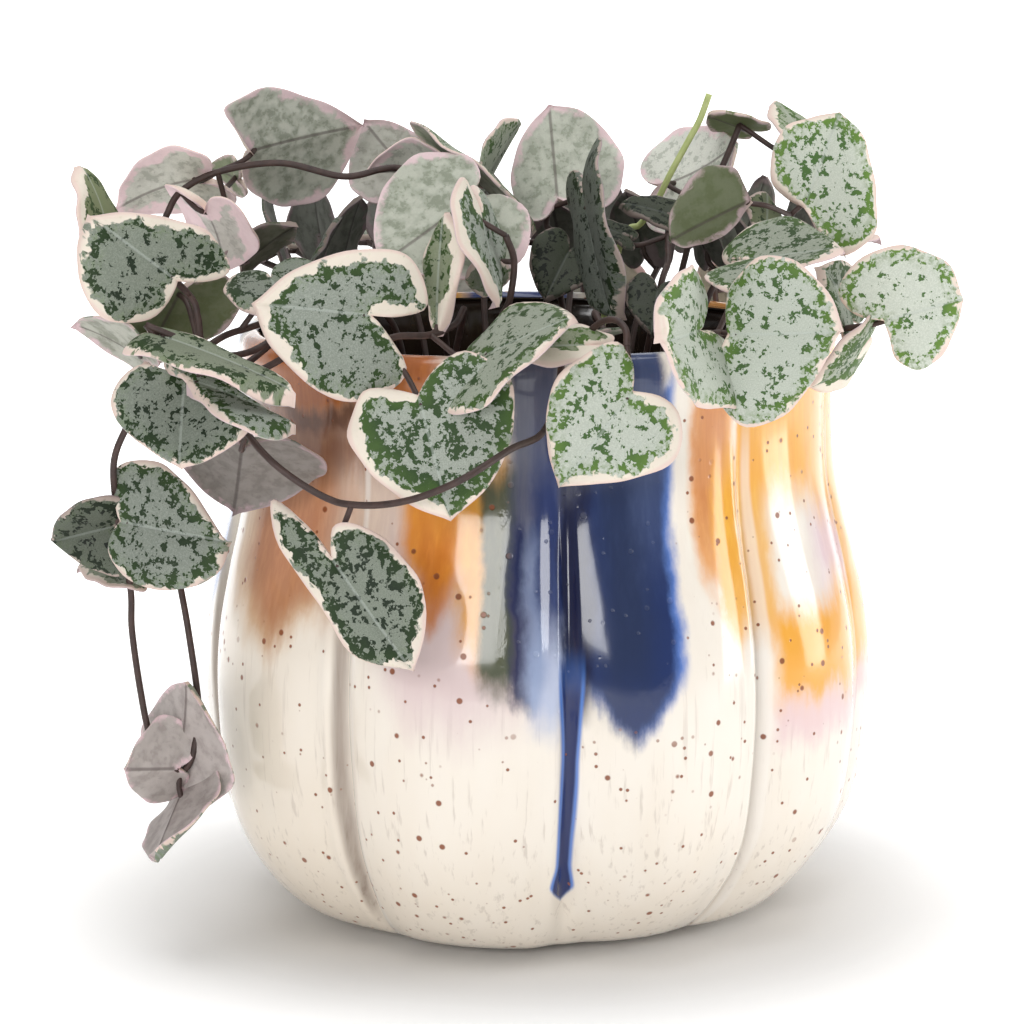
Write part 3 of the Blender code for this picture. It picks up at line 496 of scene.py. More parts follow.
# The strands: thin, purple-brown trailing stems with pairs of heart-shaped leaves on short
# stalks. A leaf is a fleshy blade folded a little along its midrib: silver-grey above,
# blotched with dark green, edged cream and pink, and grey to mauve underneath.
# Each has its root's place on the soil, the points of its stem, and its leaves.
# A leaf's row holds its base and tip, the way its upper face looks, half its width, its
# fold and its droop. Some rows add an outline of their own, five points a side from notch
# to tip, first the left side seen from above with the tip ahead. Widths and outlines are
# in leaf lengths.
STRANDS = {
    "top_vine": ((5, 4), [(2.1, -2.7, 92.5), (-3.5, -8.8, 95.7), (-12.6, -15.1, 103.5),
        (-19.2, -17.3, 106), (-26.1, -18.3, 104.9), (-34.8, -18, 106.7), (-43.3, -17, 105.4),
        (-48.3, -18, 102.8), (-50.3, -19, 99.4)], [
        ((-39.8, -12, 108), (-24.4, -4, 111.1), (.1, .9, .35), .62, .12, .12,
         (((-.02, .22), (.08, .41), (.33, .58), (.63, .55), (.88, .28)),
          ((-.11, .21), (-.19, .42), (.09, .5), (.4, .4), (.75, .21)))),
        ((-46, -14, 104.6), (-57.9, -9, 100.1), (.05, .74, .67), .5, 0, .35),
        ((-44.4, -20, 100.8), (-42.5, -12.5, 91.8), (.57, .57, .59), .64, .11, .22),
        ((-41.6, -2, 103.5), (-45.7, 1.5, 104.7), (.66, .63, .41), .57, .07, .3),
        ((-40, -10.6, 93.3), (-33.1, -12.4, 98.2), (-.43, .47, .77), .61, .15, .09)]),
    "left_front": ((-21, -14), [(-25, -23, 87.5), (-39.1, -36, 86.1), (-43.4, -40, 84.6),
        (-44.2, -41, 88.3), (-45.2, -40.4, 91), (-50.6, -36.5, 95.5), (-55.1, -33.1, 97.3)], [
        ((-46.5, -43, 93.2), (-57.1, -47, 101.9), (-.1, -1, .25), .62, .12, .1,
         (((-.05, .24), (.02, .45), (.3, .64), (.63, .61), (.91, .31)),
          ((-.22, .15), (-.31, .37), (-.01, .52), (.35, .44), (.75, .24)))),
        ((-57, -31, 98.3), (-60.7, -28.2, 107), (.85, -.28, .45), .63, 0, .24),
        ((-35, -36.5, 93.1), (-32.7, -44.5, 88.9), (-.18, -.25, .95), .65, .09, 0)]),
    "left_mid": ((-27, -6), [(-26.8, -21, 87.5), (-38.3, -30, 82.5), (-44.3, -37, 83.3),
        (-49.5, -38, 83.7), (-52.1, -38, 83.5)], [
        ((-51.3, -36.6, 82.4), (-61, -31.7, 86.7), (.54, .45, .71), .64, 0, .2),
        ((-47.1, -31.5, 91.4), (-52.5, -28.3, 81.1), (-.13, .92, .36), .68, .15, .09)]),
    "left_long": ((-17, -24), [(-21.1, -26.6, 87.5), (-36.5, -46, 81.9), (-41.4, -49, 84.8),
        (-47, -50, 87.1), (-50.1, -50, 88.4)], [
        ((-49.6, -49.6, 87.3), (-30.7, -56.6, 80.6), (.35, -.45, .82), .62, .1, .1,
         (((-.05, .06), (.06, .12), (.3, .17), (.6, .16), (.87, .09)),
          ((-.1, .1), (-.05, .2), (.25, .27), (.55, .24), (.85, .12)))),
        ((-45.1, -49.4, 81.2), (-30.8, -56.4, 76.6), (.35, -.5, .8), .62, .15, .1,
         (((-.22, .1), (-.37, .25), (-.05, .23), (.28, .13), (.67, .04)),
          ((.15, .11), (.3, .21), (.52, .36), (.75, .44), (.97, .25))))]),
    "left_hang": ((-30, 0), [(-28.3, -18.8, 87.5), (-39.3, -26, 80.3), (-44.9, -34.8, 78.7),
        (-51.9, -38.8, 76.5), (-54.2, -38.1, 73.1), (-55.9, -37, 68.4), (-55.8, -34, 60.8),
        (-54.5, -32, 51), (-54.5, -31, 45.1), (-53.6, -30, 36.6), (-52.4, -30, 30.4), (-50.4, -30, 27),
        (-48.4, -30, 25.3), (-46.9, -30, 27), (-46, -30, 31.1), (-45.9, -29, 35), (-47.2, -28, 44.5),
        (-48.3, -27, 50.5)], [
        ((-45.6, -45.5, 80.7), (-45.8, -52.5, 70.6), (-.15, -.9, .35), .62, .12, .12,
         (((.05, .25), (.14, .48), (.39, .7), (.73, .7), (.94, .34)),
          ((-.14, .25), (-.18, .5), (.1, .76), (.47, .68), (.8, .33)))),
        ((-55.4, -36, 60.7), (-40.9, -41, 58.9), (.1, -.98, .1), .62, .12, .1,
         (((-.09, .21), (-.11, .44), (.17, .56), (.48, .48), (.78, .23)),
          ((-.07, .21), (.03, .38), (.32, .5), (.63, .49), (.94, .29)))),
        ((-56.1, -33, 59.8), (-65.1, -31.3, 57.3), (-.06, -.91, -.4), .62, .53, 0),
        ((-53.9, -28, 51.6), (-62.4, -23.6, 52.4), (.02, -.15, .99), .6, .15, .3),
        ((-48.5, -28, 25.7), (-46.9, -31.8, 38.2), (.69, .72, .13), .62, .18, .16),
        ((-48.7, -31, 26.2), (-55.6, -34.2, 26.8), (-.4, .9, .19), .78, .55, 0),
        ((-47.9, -29, 22), (-50.8, -39.6, 15.3), (.71, .23, -.67), .52, .19, 0)]),
    "front_vine": ((3, -25), [(1.9, -33.9, 87.5), (2.5, -43.6, 85.8), (2.7, -47.6, 81.7),
        (.7, -52, 75.2), (-3.8, -59.2, 73.7), (-8.7, -64.2, 71.3), (-12.5, -63.5, 69.3),
        (-16.2, -62, 67.8), (-20.1, -58, 66.5), (-23.8, -56, 66.2), (-26.6, -54, 66.5),
        (-30.5, -53, 68.5), (-34.3, -52, 71.3), (-37.5, -48, 74.2), (-39, -46, 76.9)], [
        ((-26.5, -57, 59.8), (-16.1, -58, 45.1), (-.25, -.95, .25), .62, .14, .12,
         (((-.16, .14), (-.06, .3), (.22, .4), (.53, .42), (.83, .24)),
          ((-.31, .03), (-.57, .14), (-.25, .27), (.19, .26), (.69, .28)))),
        ((-38.4, -42.9, 72.1), (-40.4, -32.3, 61.9), (.24, .7, .68), .71, .17, .1)]),
    "front_left": ((-13, -24), [(-9.9, -32.5, 87.8), (-11, -36, 86.8), (-14.1, -42, 86.2),
        (-17.9, -46, 86.5), (-19.8, -47, 86.1)], [
        ((-21.2, -49.4, 89.5), (-36, -54.4, 91.6), (0, -1, .15), .62, .14, .12,
         (((-.22, .2), (-.32, .46), (0, .7), (.42, .66), (.82, .36)),
          ((-.26, .02), (-.49, .14), (-.28, .5), (.18, .52), (.68, .31)))),
        ((-15.4, -53.1, 79.9), (-11.3, -58.1, 64.8), (0, -.98, .2), .62, .12, .12,
         (((-.2, .21), (-.25, .46), (.05, .7), (.45, .66), (.82, .35)),
          ((-.12, .21), (-.13, .43), (.15, .6), (.49, .53), (.82, .28)))),
        ((-13.2, -40.4, 85.7), (-12.3, -38.4, 101.7), (-.5, -.85, .1), .62, .2, .1,
         (((.12, .06), (.25, .09), (.43, .16), (.63, .19), (.85, .11)),
          ((.12, .08), (.26, .13), (.45, .21), (.65, .24), (.87, .15)))),
        ((-7.7, -49.7, 83.9), (4.3, -56.2, 90), (-.54, -.28, .79), .68, 0, .06)]),
    "mid_front": ((-4, -18), [(-5.1, -31, 85.5), (-3.8, -34, 89.9), (-3.2, -35, 95), (-4.3, -36, 98.5)], [
        ((-7.8, -35.9, 101.7), (-5.1, -38.9, 89.5), (.91, -.26, .33), .59, 0, 0),
        ((-6.6, -33.9, 94), (-7.4, -31.9, 90), (.2, -.77, -.6), .65, .28, 0)]),
    "centre_front": ((13, -23), [(7.5, -33.2, 87.5), (8.6, -38, 85.7), (6.3, -44, 86.4),
        (7.8, -46, 88.2), (9.7, -48, 88.8), (11, -50, 87.7), (11.1, -51, 85.9)], [
        ((11.9, -52.7, 80.3), (2.6, -54.7, 68.3), (.05, -.98, .2), .62, .12, .12,
         (((-.1, .22), (-.06, .44), (.19, .62), (.5, .51), (.79, .24)),
          ((-.2, .15), (-.24, .38), (.08, .53), (.44, .55), (.79, .29)))),
        ((6.2, -47.3, 85.3), (-4.7, -47.3, 84.7), (0, -.6, .8), .32, .3, .05),
        ((8.4, -38, 85.7), (1.9, -40.3, 84.5), (-.19, .04, .98), .63, .21, .15)]),
    "right_front": ((24, -18), [(17.2, -29.3, 87.5), (22.4, -38.1, 83.9), (22.4, -42, 86.2),
        (23.5, -45, 86.8)], [
        ((24, -48, 86.9), (38.1, -52, 87.7), (.05, -1, .1), .62, .12, .1,
         (((-.03, .24), (.05, .46), (.32, .66), (.65, .63), (.91, .32)),
          ((-.11, .26), (-.12, .53), (.15, .79), (.52, .7), (.81, .33)))),
        ((20.2, -52.6, 88), (15.2, -63.6, 87.8), (.72, -.66, .2), .62, .15, .1,
         (((-.49, .1), (-.88, .37), (-.63, .86), (.08, .85), (.87, .6)),
          ((-.31, .14), (-.54, .37), (-.16, .64), (.33, .68), (.85, .43)))),
        ((27.1, -34, 95), (39.6, -38.3, 97), (-.25, -.3, .92), .68, .16, 0)]),
    "right_far": ((29, -8), [(28.9, -18, 87.5), (37.4, -23.3, 82.5), (40.5, -24, 84.7),
        (44.4, -26, 85.6)], [
        ((46, -28, 86.4), (56.2, -30, 89.6), (.1, -.95, .2), .62, .12, .1,
         (((-.32, .18), (-.44, .5), (-.07, .82), (.45, .83), (.94, .49)),
          ((.02, .24), (.03, .48), (.26, .7), (.58, .6), (.84, .29)))),
        ((43.7, -24, 83), (36, -28.8, 77.7), (.68, -.48, -.55), .59, .06, .31),
        ((42.4, -18, 85.7), (37.9, -23.3, 93.2), (.87, -.44, .22), .63, .2, .11)]),
    "right_top": ((25, 0), [(28.8, -6, 91), (31.4, -8, 96.1), (34.8, -9, 98.9)], [
        ((36.5, -10, 100.1), (41.7, -6, 112.9), (.1, -.95, .2), .62, .12, .1,
         (((.03, .19), (.11, .36), (.36, .47), (.64, .45), (.85, .23)),
          ((-.18, .24), (-.3, .5), (0, .73), (.4, .6), (.83, .34)))),
        ((31.1, -12, 98), (31.4, -7.6, 101.8), (.65, -.53, .55), .61, .14, .08),
        ((28.9, -14, 101.5), (17.7, -17, 96.2), (0, .9, .3), .62, .12, .12,
         (((.01, .21), (.05, .41), (.31, .53), (.61, .48), (.89, .27)),
          ((.12, .08), (.24, .17), (.43, .24), (.64, .25), (.87, .16))))]),
    "top_right": ((17, 8), [(21.7, 6, 94.1), (23.9, 8, 98.9), (26.8, 9, 105.2), (28.9, 10, 110.1)], [
        ((39, 7.1, 106.9), (34, 13, 113.4), (.6, -.3, .74), .6, .1, .04),
        ((30.1, 13, 109.6), (24.3, 9.7, 111.8), (.11, .41, .91), .62, .02, .03),
        ((19.1, 18, 100.9), (28.8, 11.4, 107.3), (.68, .6, -.42), .68, .13, .35)]),
    "top_centre": ((0, 3), [(2.1, 1, 93.2), (1.3, 1, 96.7), (1.7, 0, 99.1)], [
        ((2.9, -1.2, 100.1), (1.7, 3.8, 113.1), (0, .95, .2), .62, .1, .12,
         (((-.12, .24), (-.12, .49), (.19, .69), (.56, .64), (.91, .35)),
          ((-.17, .15), (-.15, .31), (.13, .45), (.45, .41), (.79, .23)))),
        ((6.5, -12, 101.8), (10.4, -21, 85.7), (-.93, -.3, -.1), .5, .1, .1),
        ((4.4, -7.9, 93.8), (1.1, -12.9, 87.6), (0, -.8, .5), .55, .2, .1)]),
    "mid_left": ((-12, -4), [(-13.4, -13, 93.1), (-12.3, -14.1, 97.5), (-12.2, -14.1, 100.9)], [
        ((-9.2, -25.4, 102), (-20.8, -33.5, 94.2), (-.1, .76, -.64), .62, .2, .08),
        ((-12, -8.1, 103.5), (-23.8, -3.3, 104.6), (.19, .25, .95), .65, .42, .35),
        ((-12, -8.6, 106.9), (-.1, -15.3, 97.4), (.67, .16, .73), .63, .08, .08),
        ((-8.2, -1.9, 102.5), (-2.4, 6.5, 110.7), (.87, -.15, -.46), .64, 0, 0),
        ((-18.4, 1.9, 104), (-24.4, 7.7, 110.4), (-.04, .72, -.69), .68, .25, .12)]),
    "inner_right": ((14, -6), [(16.8, -12, 88.9), (18, -9, 92.4), (18.1, -6, 95.8)], [
        ((16.2, -19.7, 89.6), (15.1, -24.7, 84.2), (0, -.8, .5), .55, .2, .1),
        ((18.2, -3, 98.3), (11.5, -3, 99.9), (0, -.5, .8), .5, .2, .1),
        ((12.1, -8, 95.7), (7, -8, 97.5), (0, -.4, .8), .5, .2, .1)]),
    "shoot": ((8, 12), [(11.9, 8, 93.2), (14.7, 8, 96.1), (16.8, 7, 99), (18.8, 6, 103.3),
        (21.6, 6, 108.5), (23, 6, 111.1), (24.3, 6, 114.7)], []),
}
# Strands behind: their direction in degrees from +X, and how many leaves hang over the lip.
BACK = ((10, 0), (34, 0), (57, 3), (81, 3), (105, 2), (129, 2), (153, 0), (177, 0))
BACK_SEED = 11
# The common outline, one side of it from the notch to the tip, and where each of its
# points meets the midrib.
HEART = np.array([
    (0, 0), (-0.25, 0.13), (-0.31, 0.40), (0, 0.64), (0.40, 0.60), (0.78, 0.32), (1, 0),
])
RIB = np.array([0, 0.05, 0.12, 0.28, 0.52, 0.82, 1])
HEART_HALF = 0.62
# Steps of a blade's grid from the notch to the tip, and from the midrib to a margin.
ALONG, ACROSS = 34, 13
STEM_RADIUS, STALK_RADIUS = 0.46, 0.38
ROOT_DEPTH = 9
# What a leaf's look holds, and all that its skin carries for the material.
LOOK = ("cream", "blotch", "hue", "side", "shade", "olive", "pink")
LEAF_DATA = ("along", "across", "margin", "upper", "seed", "side", "cream", "blotch", "hue",
             "shade", "olive", "pink")


def back_strands():
    """The strands behind, which the photo can't show, one to each wedge of the pot.

    Each climbs from the soil over the lip. s is the side on which the next leaf stands,
    right or left. p makes a point of a radius, a height and a step sideways.
    """
    rng = random.Random(BACK_SEED)
    out = {}
    for k, (deg, hang) in enumerate(BACK):
        a = math.radians(deg)
        ca, sa = math.cos(a), math.sin(a)

        def p(r, z, side=0.0):
            return (r * ca - side * sa, r * sa + side * ca, z)

        path = [(27, 80), (32, 88), (38.5, 91.5)]
        if hang:
            path += [(46, 90), (50.5, 83), (52, 73)]
            path += [(52.5, 62 - 11 * j) for j in range(hang - 1)]
        stem = [p(r + rng.uniform(-0.5, 0.5), z, rng.uniform(-0.8, 0.8)) for r, z in path]
        s = 1
        rows = [
            (p(31, 91, s), p(27.5, 100 - 2 * (k % 2), 2 * s), p(0.9, 0.45)),
            (p(36, 93, -s), p(38.5, 104 - 2 * (k % 3), -3 * s), p(0.9, -0.1)),
            (p(41, 92.5, 2 * s), p(50.5, 94 - 2 * (k % 2), 3 * s), p(-0.1, 1)),
        ]
        for j in range(hang):
            s = -s
            z = 84 - 11.5 * j
            rows.append((p(54.5, z, 1.5 * s), p(58, z - 12.5, 3.5 * s), p(1, 0.35)))
        leaves = [(b, t, n, 0.56 + rng.uniform(-0.04, 0.04), 0.14, 0.12) for b, t, n in rows]
        out["back_%d" % (k + 1)] = ((25 * ca, 25 * sa), stem, leaves)
    return out


def leaf_axes(row):
    """Length, and the directions to the tip, up from the blade and across it, at its base.

    The blade droops from there, so its tip comes down onto the row's tip.
    """
    base, tip, up = (np.array(v, float) for v in row[:3])
    droop = row[5]
    chord = tip - base
    e = chord / np.linalg.norm(chord)
    m = up - (up @ e) * e
    m = m / np.linalg.norm(m)
    k = math.sqrt(1 + droop * droop)
    t, n = (e + droop * m) / k, (m - droop * e) / k
    return np.linalg.norm(chord) / k, t, n, np.cross(n, t)


def outline(row, side):
    """The seven points of a leaf's left (1) or right (-1) side, from notch to tip."""
    if len(row) > 6:
        return np.array([(0, 0), *row[6][0 if side == 1 else 1], (1, 0)], float)
    return HEART * (1, row[3] / HEART_HALF)


def bent(points, knot):
    """A spline through the points, read at knot numbers."""
    p = padded(points)
    k = np.clip(knot.astype(int), 0, len(points) - 2)
    return spline(p[k], p[k + 1], p[k + 2], p[k + 3], (knot - k)[:, None])


def both_faces(g):
    """Values for a blade's upper face and, in turned order, its lower one."""
    return np.concatenate([g, g[:, ::-1]], 1).ravel()


def blade(row, look, seed):
    """A leaf's closed skin, on a grid of rows from the notch to the tip.

    A row runs from one margin over the midrib to the other. Its ends follow the outline
    of that side and its middle the midrib. The lift is fold times the distance from the
    midrib, less droop times the square of the distance along it and a fine crease on the
    midrib, plus two waves that grow towards the margin, where the blade also turns down a
    little. Half the thickness is set off on either side; it thins towards the margin and
    towards the notch and the tip. The margin ripples a little.
    """
    rng = np.random.default_rng(seed)
    base = np.array(row[0], float)
    fold, droop = row[4:6]
    length, t, n, w = leaf_axes(row)
    plus, minus = outline(row, 1), outline(row, -1)
    steps = steps_of(plus) + steps_of(minus)
    far = np.linspace(0, 1, ALONG + 1)
    knot = np.interp(far, np.concatenate([[0], np.cumsum(steps)]) / steps.sum(), np.arange(7))
    rib = bent(np.stack([RIB, RIB], 1), knot)[:, :1]
    # s is the side, -1 or 1, and f the way out from the midrib, 0 to 1
    q = np.sin(np.linspace(-1, 1, 2 * ACROSS + 1) * np.pi / 2)
    s = np.sign(q)
    f = np.abs(q)
    plus_edge, minus_edge = bent(plus, knot), bent(minus, knot)
    edge = np.where(s[None, :, None] < 0, minus_edge[:, None], plus_edge[:, None])
    ripple = 1 + 0.012 * np.sin(far * 19 + rng.uniform(0, 6))[:, None]
    ripple = ripple + 0.01 * np.sin(far * 31 + rng.uniform(0, 6))[:, None]
    # a and b are the way along the midrib and across it, in leaf lengths
    a = rib + (edge[..., 0] - rib) * f
    b = edge[..., 1] * f * ripple * s
    phase, phase2 = rng.uniform(0, 6.28, 2)
    slow_wave = 0.045 * np.sin(5.0 * a + phase + 1.3 * s) * f ** 2
    wave = slow_wave + 0.018 * np.sin(13 * a + phase2 + 2 * s) * f ** 3
    lift = fold * np.sqrt(b * b + 0.0012) - fold * 0.034 - droop * a * np.abs(a)
    lift = lift + wave - 0.05 * f ** 4
    lift = lift - 0.018 * np.exp(-(b / 0.02) ** 2)
    point = base + length * (a[..., None] * t + b[..., None] * w + lift[..., None] * n)
    slope = n - fold * s[None, :, None] * f[None, :, None] ** 0.3 * w
    slope = slope + 2 * droop * np.abs(a)[..., None] * t
    slope = slope / np.linalg.norm(slope, axis=-1, keepdims=True)
    ends = np.clip(np.minimum(far / 0.06, (1 - far) / 0.05), 0.35, 1)[:, None]
    thick = (0.12 + 0.30 * np.sqrt(np.clip(1 - f ** 4, 0, 1))) * ends
    upper = point + slope * thick[..., None]
    lower = point - slope * thick[..., None]
    loop = np.concatenate([upper, lower[:, ::-1]], 1)
    quads = grid_faces(*loop.shape[:2])[2][:, [0, 3, 2, 1]]
    face = np.concatenate([np.ones_like(a), -np.ones_like(a)], 1).ravel()
    rim = np.concatenate([plus_edge, minus_edge * (1, -1)])
    reach = np.linalg.norm(np.stack([a, b], -1)[:, :, None] - rim, axis=-1).min(2) * length
    data = {key: np.full(face.size, value) for key, value in zip(LOOK, look)}
    data["side"] = both_faces(np.broadcast_to(s, a.shape)) * data["side"]
    data.update(along=both_faces(a * length), across=both_faces(b * length),
                margin=both_faces(reach), upper=face, seed=np.full(face.size, float(seed % 97)))
    return loop.reshape(-1, 3), quads, data


def stalk(points, radius, sides=9, gap=0.7):
    """A round tube along a spline through the points, closed at both ends.

    Its direction across is carried along, so that it doesn't twist where the path turns up.
    """
    path = along(points, max(4, int(sum(steps_of(np.array(points, float))) / gap)))
    heading = np.gradient(path, axis=0)
    heading /= np.linalg.norm(heading, axis=1, keepdims=True)
    ref = np.where(np.abs(heading[:, 2:]) > 0.9, [[1.0, 0, 0]], [[0, 0, 1.0]])
    across = np.cross(heading, ref)
    for k in range(1, len(across)):
        across[k] = across[k - 1] - (across[k - 1] @ heading[k]) * heading[k]
    across /= np.linalg.norm(across, axis=1, keepdims=True)
    other = np.cross(heading, across)
    turn = 2 * np.pi * np.arange(sides) / sides
    out = np.cos(turn)[:, None] * across[:, None] + np.sin(turn)[:, None] * other[:, None]
    first, last = (np.repeat(end[None, None], sides, 1) for end in (path[0], path[-1]))
    ring = np.concatenate([first, path[:, None] + radius * out, last])
    return ring.reshape(-1, 3), grid_faces(len(ring), sides)[2]


leaf = Finish("variegated_leaf", Roughness=0.5, IOR=1.36)
far, wide, margin, upper, seed, side, cream_mm, blotch, hue, shade, olive, pink = (
    leaf.attribute(key) for key in LEAF_DATA)
# a place on the flat leaf; the seed takes each leaf to another part of the noise
shift = leaf.node("ShaderNodeCombineXYZ", i0=far, i1=wide, i2=seed * 7.3)
broad = leaf.noise(shift, 0.22, 2.0)
middle = leaf.noise(shift, 0.55, 2.0, 0.5)
fine = leaf.noise(shift, 1.6, 3.0, 0.6)
grit = leaf.noise(shift, 6.0, 2.0, 0.6)
chip = leaf.cell_shade(shift, 1.7, 0)
chip_small = leaf.cell_shade(shift, 3.4, 1)
# how far a point is inside the green, in millimetres: the cream margin wanders
wander = cream_mm * (0.15 + leaf.smooth(broad, 0.3, 0.7) * 1.1)
inside_by = margin - wander - (middle - 0.5) * 2.2 - (chip - 0.5) * 0.4
inside_by = inside_by - leaf.smooth(side, 0.2, 1.0) * (0.2 + broad * 2.0)
in_green = leaf.smooth(inside_by, -0.1, 0.16)
# angular mottles: noise and cells of one shade each, where they pass a level
mottle = middle * 0.5 + fine * 0.32 + chip * 0.11 + chip_small * 0.07
near_edge = leaf.smooth(inside_by, 2.6, 0.3)
level = 0.645 - blotch * 0.115 - near_edge * 0.07
dark = leaf.smooth(mottle, level - 0.010, level + 0.010) * in_green
vein = leaf.smooth(abs(wide), 0.30, 0.08) * leaf.smooth(far, -0.5, 1.0)
# the upper face: silver with frost on it, mottled deep green, inside a cream margin
silver = leaf.mix(hue, tone(116, 124, 114), tone(198, 205, 192))
frost = leaf.mix(hue, tone(156, 163, 152), tone(226, 230, 220))
silver = leaf.mix(leaf.smooth(grit, 0.38, 0.68) * 0.55, silver, frost)
fresh = near_edge * leaf.smooth(fine, 0.42, 0.6) * (hue * 0.35 + 0.35)
silver = leaf.mix(fresh, silver, tone(118, 142, 92))
silver = leaf.mix(olive, silver, tone(116, 126, 80))
deep = leaf.mix(hue, tone(16, 29, 17), tone(70, 106, 48))
bright = leaf.mix(hue, tone(34, 58, 22), tone(104, 140, 56))
deep = leaf.mix(near_edge * (hue * 0.4 + 0.5), deep, bright)
deep = leaf.mix(leaf.smooth(grit, 0.5, 0.8) * 0.15, deep, tone(96, 116, 88))
edge_cream = leaf.mix(broad, tone(238, 230, 212), tone(228, 216, 204))
edge_cream = leaf.mix(leaf.smooth(fine, 0.55, 0.75) * 0.25, edge_cream, tone(188, 196, 150))
edge_cream = leaf.mix(leaf.smooth(margin, 0.7, 0.1) * 0.5, edge_cream, tone(226, 190, 184))
top_face = leaf.mix(in_green, edge_cream, silver)
top_face = leaf.mix(dark * 0.98, top_face, deep)
top_face = leaf.mix(vein * 0.35 * in_green, top_face, tone(196, 204, 196))
# the under face: grey to mauve, with a dark midrib and a pink margin
under = leaf.mix(leaf.smooth(middle, 0.35, 0.65), tone(190, 194, 180), tone(148, 155, 138))
under = leaf.mix(hue * 0.6, under, tone(212, 214, 204))
under = leaf.mix(leaf.smooth(mottle, 0.53, 0.57) * 0.35, under, tone(98, 110, 88))
under = leaf.mix(leaf.smooth(grit, 0.4, 0.7) * 0.25, under, tone(168, 160, 158))
under = leaf.mix(olive, under, tone(104, 116, 70))
under = leaf.mix(pink * 0.7, under, tone(176, 156, 160))
under = leaf.mix(vein * 0.6, under, tone(92, 80, 78))
under = leaf.mix(leaf.smooth(inside_by, 0.5, -0.4) * 0.75, under, tone(236, 206, 212))
both = leaf.mix(leaf.smooth(upper, -0.2, 0.2), under, top_face)
# painted light and shade: the colour times the leaf's shade factor, darker for leaves deep in the plant,
# lighter for some others
painted_light_and_shade = leaf.node("ShaderNodeCombineColor", i0=shade, i1=shade, i2=shade)
both = leaf.mix(1.0, both, painted_light_and_shade, "MULTIPLY")
flesh = middle * 0.5 + fine * 0.4 + grit * 0.12 - vein * 1.0
leaf.wear(colour=both, rough=0.52 + grit * 0.16, bump=flesh, strength=0.3, distance=0.0004)

twig = Finish("purple_stem", Roughness=0.55)
bark = twig.noise(twig.place(), 700.0, 3.0)
purple = twig.mix(bark, tone(36, 27, 26), tone(86, 64, 58))
twig.wear(colour=purple, bump=bark, strength=0.3, distance=0.0003)
pale_twig = Finish("young_stem", Roughness=0.5)
sap = pale_twig.noise(pale_twig.place(), 500.0)
pale_twig.wear(colour=pale_twig.mix(sap, tone(170, 186, 110), tone(206, 214, 150)))

# For each leaf: the cream margin's width in mm, how much is blotched, how pale and bright
# it is, the side with wide cream (1, -1 or none), its painted shade or light (a factor: under 1
# darker, over 1 lighter), how olive and how pink it is.
LOOKS = {
    "top_vine": ((1, .3, .1, 0, 1, 0, .05), (1.8, .3, .8, 0, 1.15, 0, .2),
        (2.8, .3, .7, 1, 1.15, 0, .5), (.6, .3, .2, 0, 1, .7, 0), (.3, .3, 0, 0, .5, .5, .2)),
    "left_front": ((1.2, .65, .05, 0, 1, .1, .1), (.5, .3, .2, 1, 1.1, .8, 0),
        (.4, .8, .1, 0, .85, .1, 0)),
    "left_mid": ((.5, .3, .1, 0, .95, .1, .2), (.4, .3, .1, 0, .85, .8, 0)),
    "left_long": ((.5, .6, .1, .4, 1, .35, .1), (.4, .85, .2, .4, .95, 0, .1)),
    "left_hang": ((.5, .75, .05, 0, .95, .05, .1), (.6, .85, .15, 0, .9, 0, .1),
        (.4, .6, 0, 0, .5, .2, .2), (1, .5, .2, 0, .75, .3, .2), (.3, .3, .15, 0, 1.05, 0, .8),
        (.4, .3, .15, 0, 1.05, 0, .75), (.3, .3, .1, 0, 1, 0, .8)),
    "front_vine": ((.8, .95, .05, 0, .95, .1, .1), (.4, .3, 0, 0, .55, .1, .7)),
    "front_left": ((1.5, .75, .2, 0, 1, 0, 0), (.35, 1.15, .35, -1, 1, 0, 0),
        (.5, .6, .25, -1, 1, .55, 0), (.6, .8, .35, 0, 1, .2, 0)),
    "mid_front": ((.6, .9, .3, -1, 1, 0, 0), (.5, .3, .3, 0, .7, .3, 0)),
    "centre_front": ((.6, .75, .75, .6, 1, 0, 0), (1.3, .7, .6, 1, 1, .6, 0), (.3, .9, .1, 0, .5, .4, 0)),
    "right_front": ((.5, .75, .7, 0, 1, 0, 0), (.6, .75, .75, 0, 1.03, .1, 0),
        (.5, .95, .4, 0, .95, .25, 0)),
    "right_far": ((.4, .55, .95, 0, 1.06, 0, 0), (.7, .9, .55, 1, 1, .3, 0),
        (.4, .9, .3, 0, .85, .2, .2)),
    "right_top": ((.8, .85, .9, 0, 1.05, .1, 0), (.3, .3, .1, 0, .6, .7, .2),
        (.4, .3, .1, 0, .72, .8, 0)),
    "top_right": ((.9, .7, .6, 0, 1.05, .4, 0), (.3, .5, .2, 0, 1, .9, 0), (.8, .3, 1.5, 0, 1.25, 0, 0)),
    "top_centre": ((.7, .3, .6, 0, 1.12, .1, 0), (.4, .6, .1, 0, .55, 0, .1), (.3, .5, 0, 0, .28, .4, 0)),
    "mid_left": ((.8, .3, .2, 0, 1.05, .1, 0), (1.2, .3, 1, 0, 1.15, 0, .1), (.5, .7, .4, .4, 1, .3, 0),
        (.4, .6, .4, 0, 1, .3, 0), (.6, .3, .4, 0, .9, .1, .3)),
    # painted shade: these leaves deep inside are coloured near black
    "inner_right": ((.3, .5, 0, 0, .22, .3, 0), (.3, .5, 0, 0, .28, .3, 0), (.3, .5, 0, 0, .28, .3, 0)),
}


def back_look(rng, inner):
    """The look of a leaf the photo can't show, drawn within what the others show."""
    side = rng.choice([-1, 0, 0, 1])
    # painted shade: the first two leaves of a strand, deep in the plant, are darkened
    shade = rng.uniform(0.9, 1) * (0.32 if inner else 1.0)
    return (rng.uniform(0.3, 1.3), rng.uniform(0.6, 0.9), rng.uniform(0, 0.9), side, shade,
            rng.uniform(0, 0.3), rng.uniform(0, 0.2))


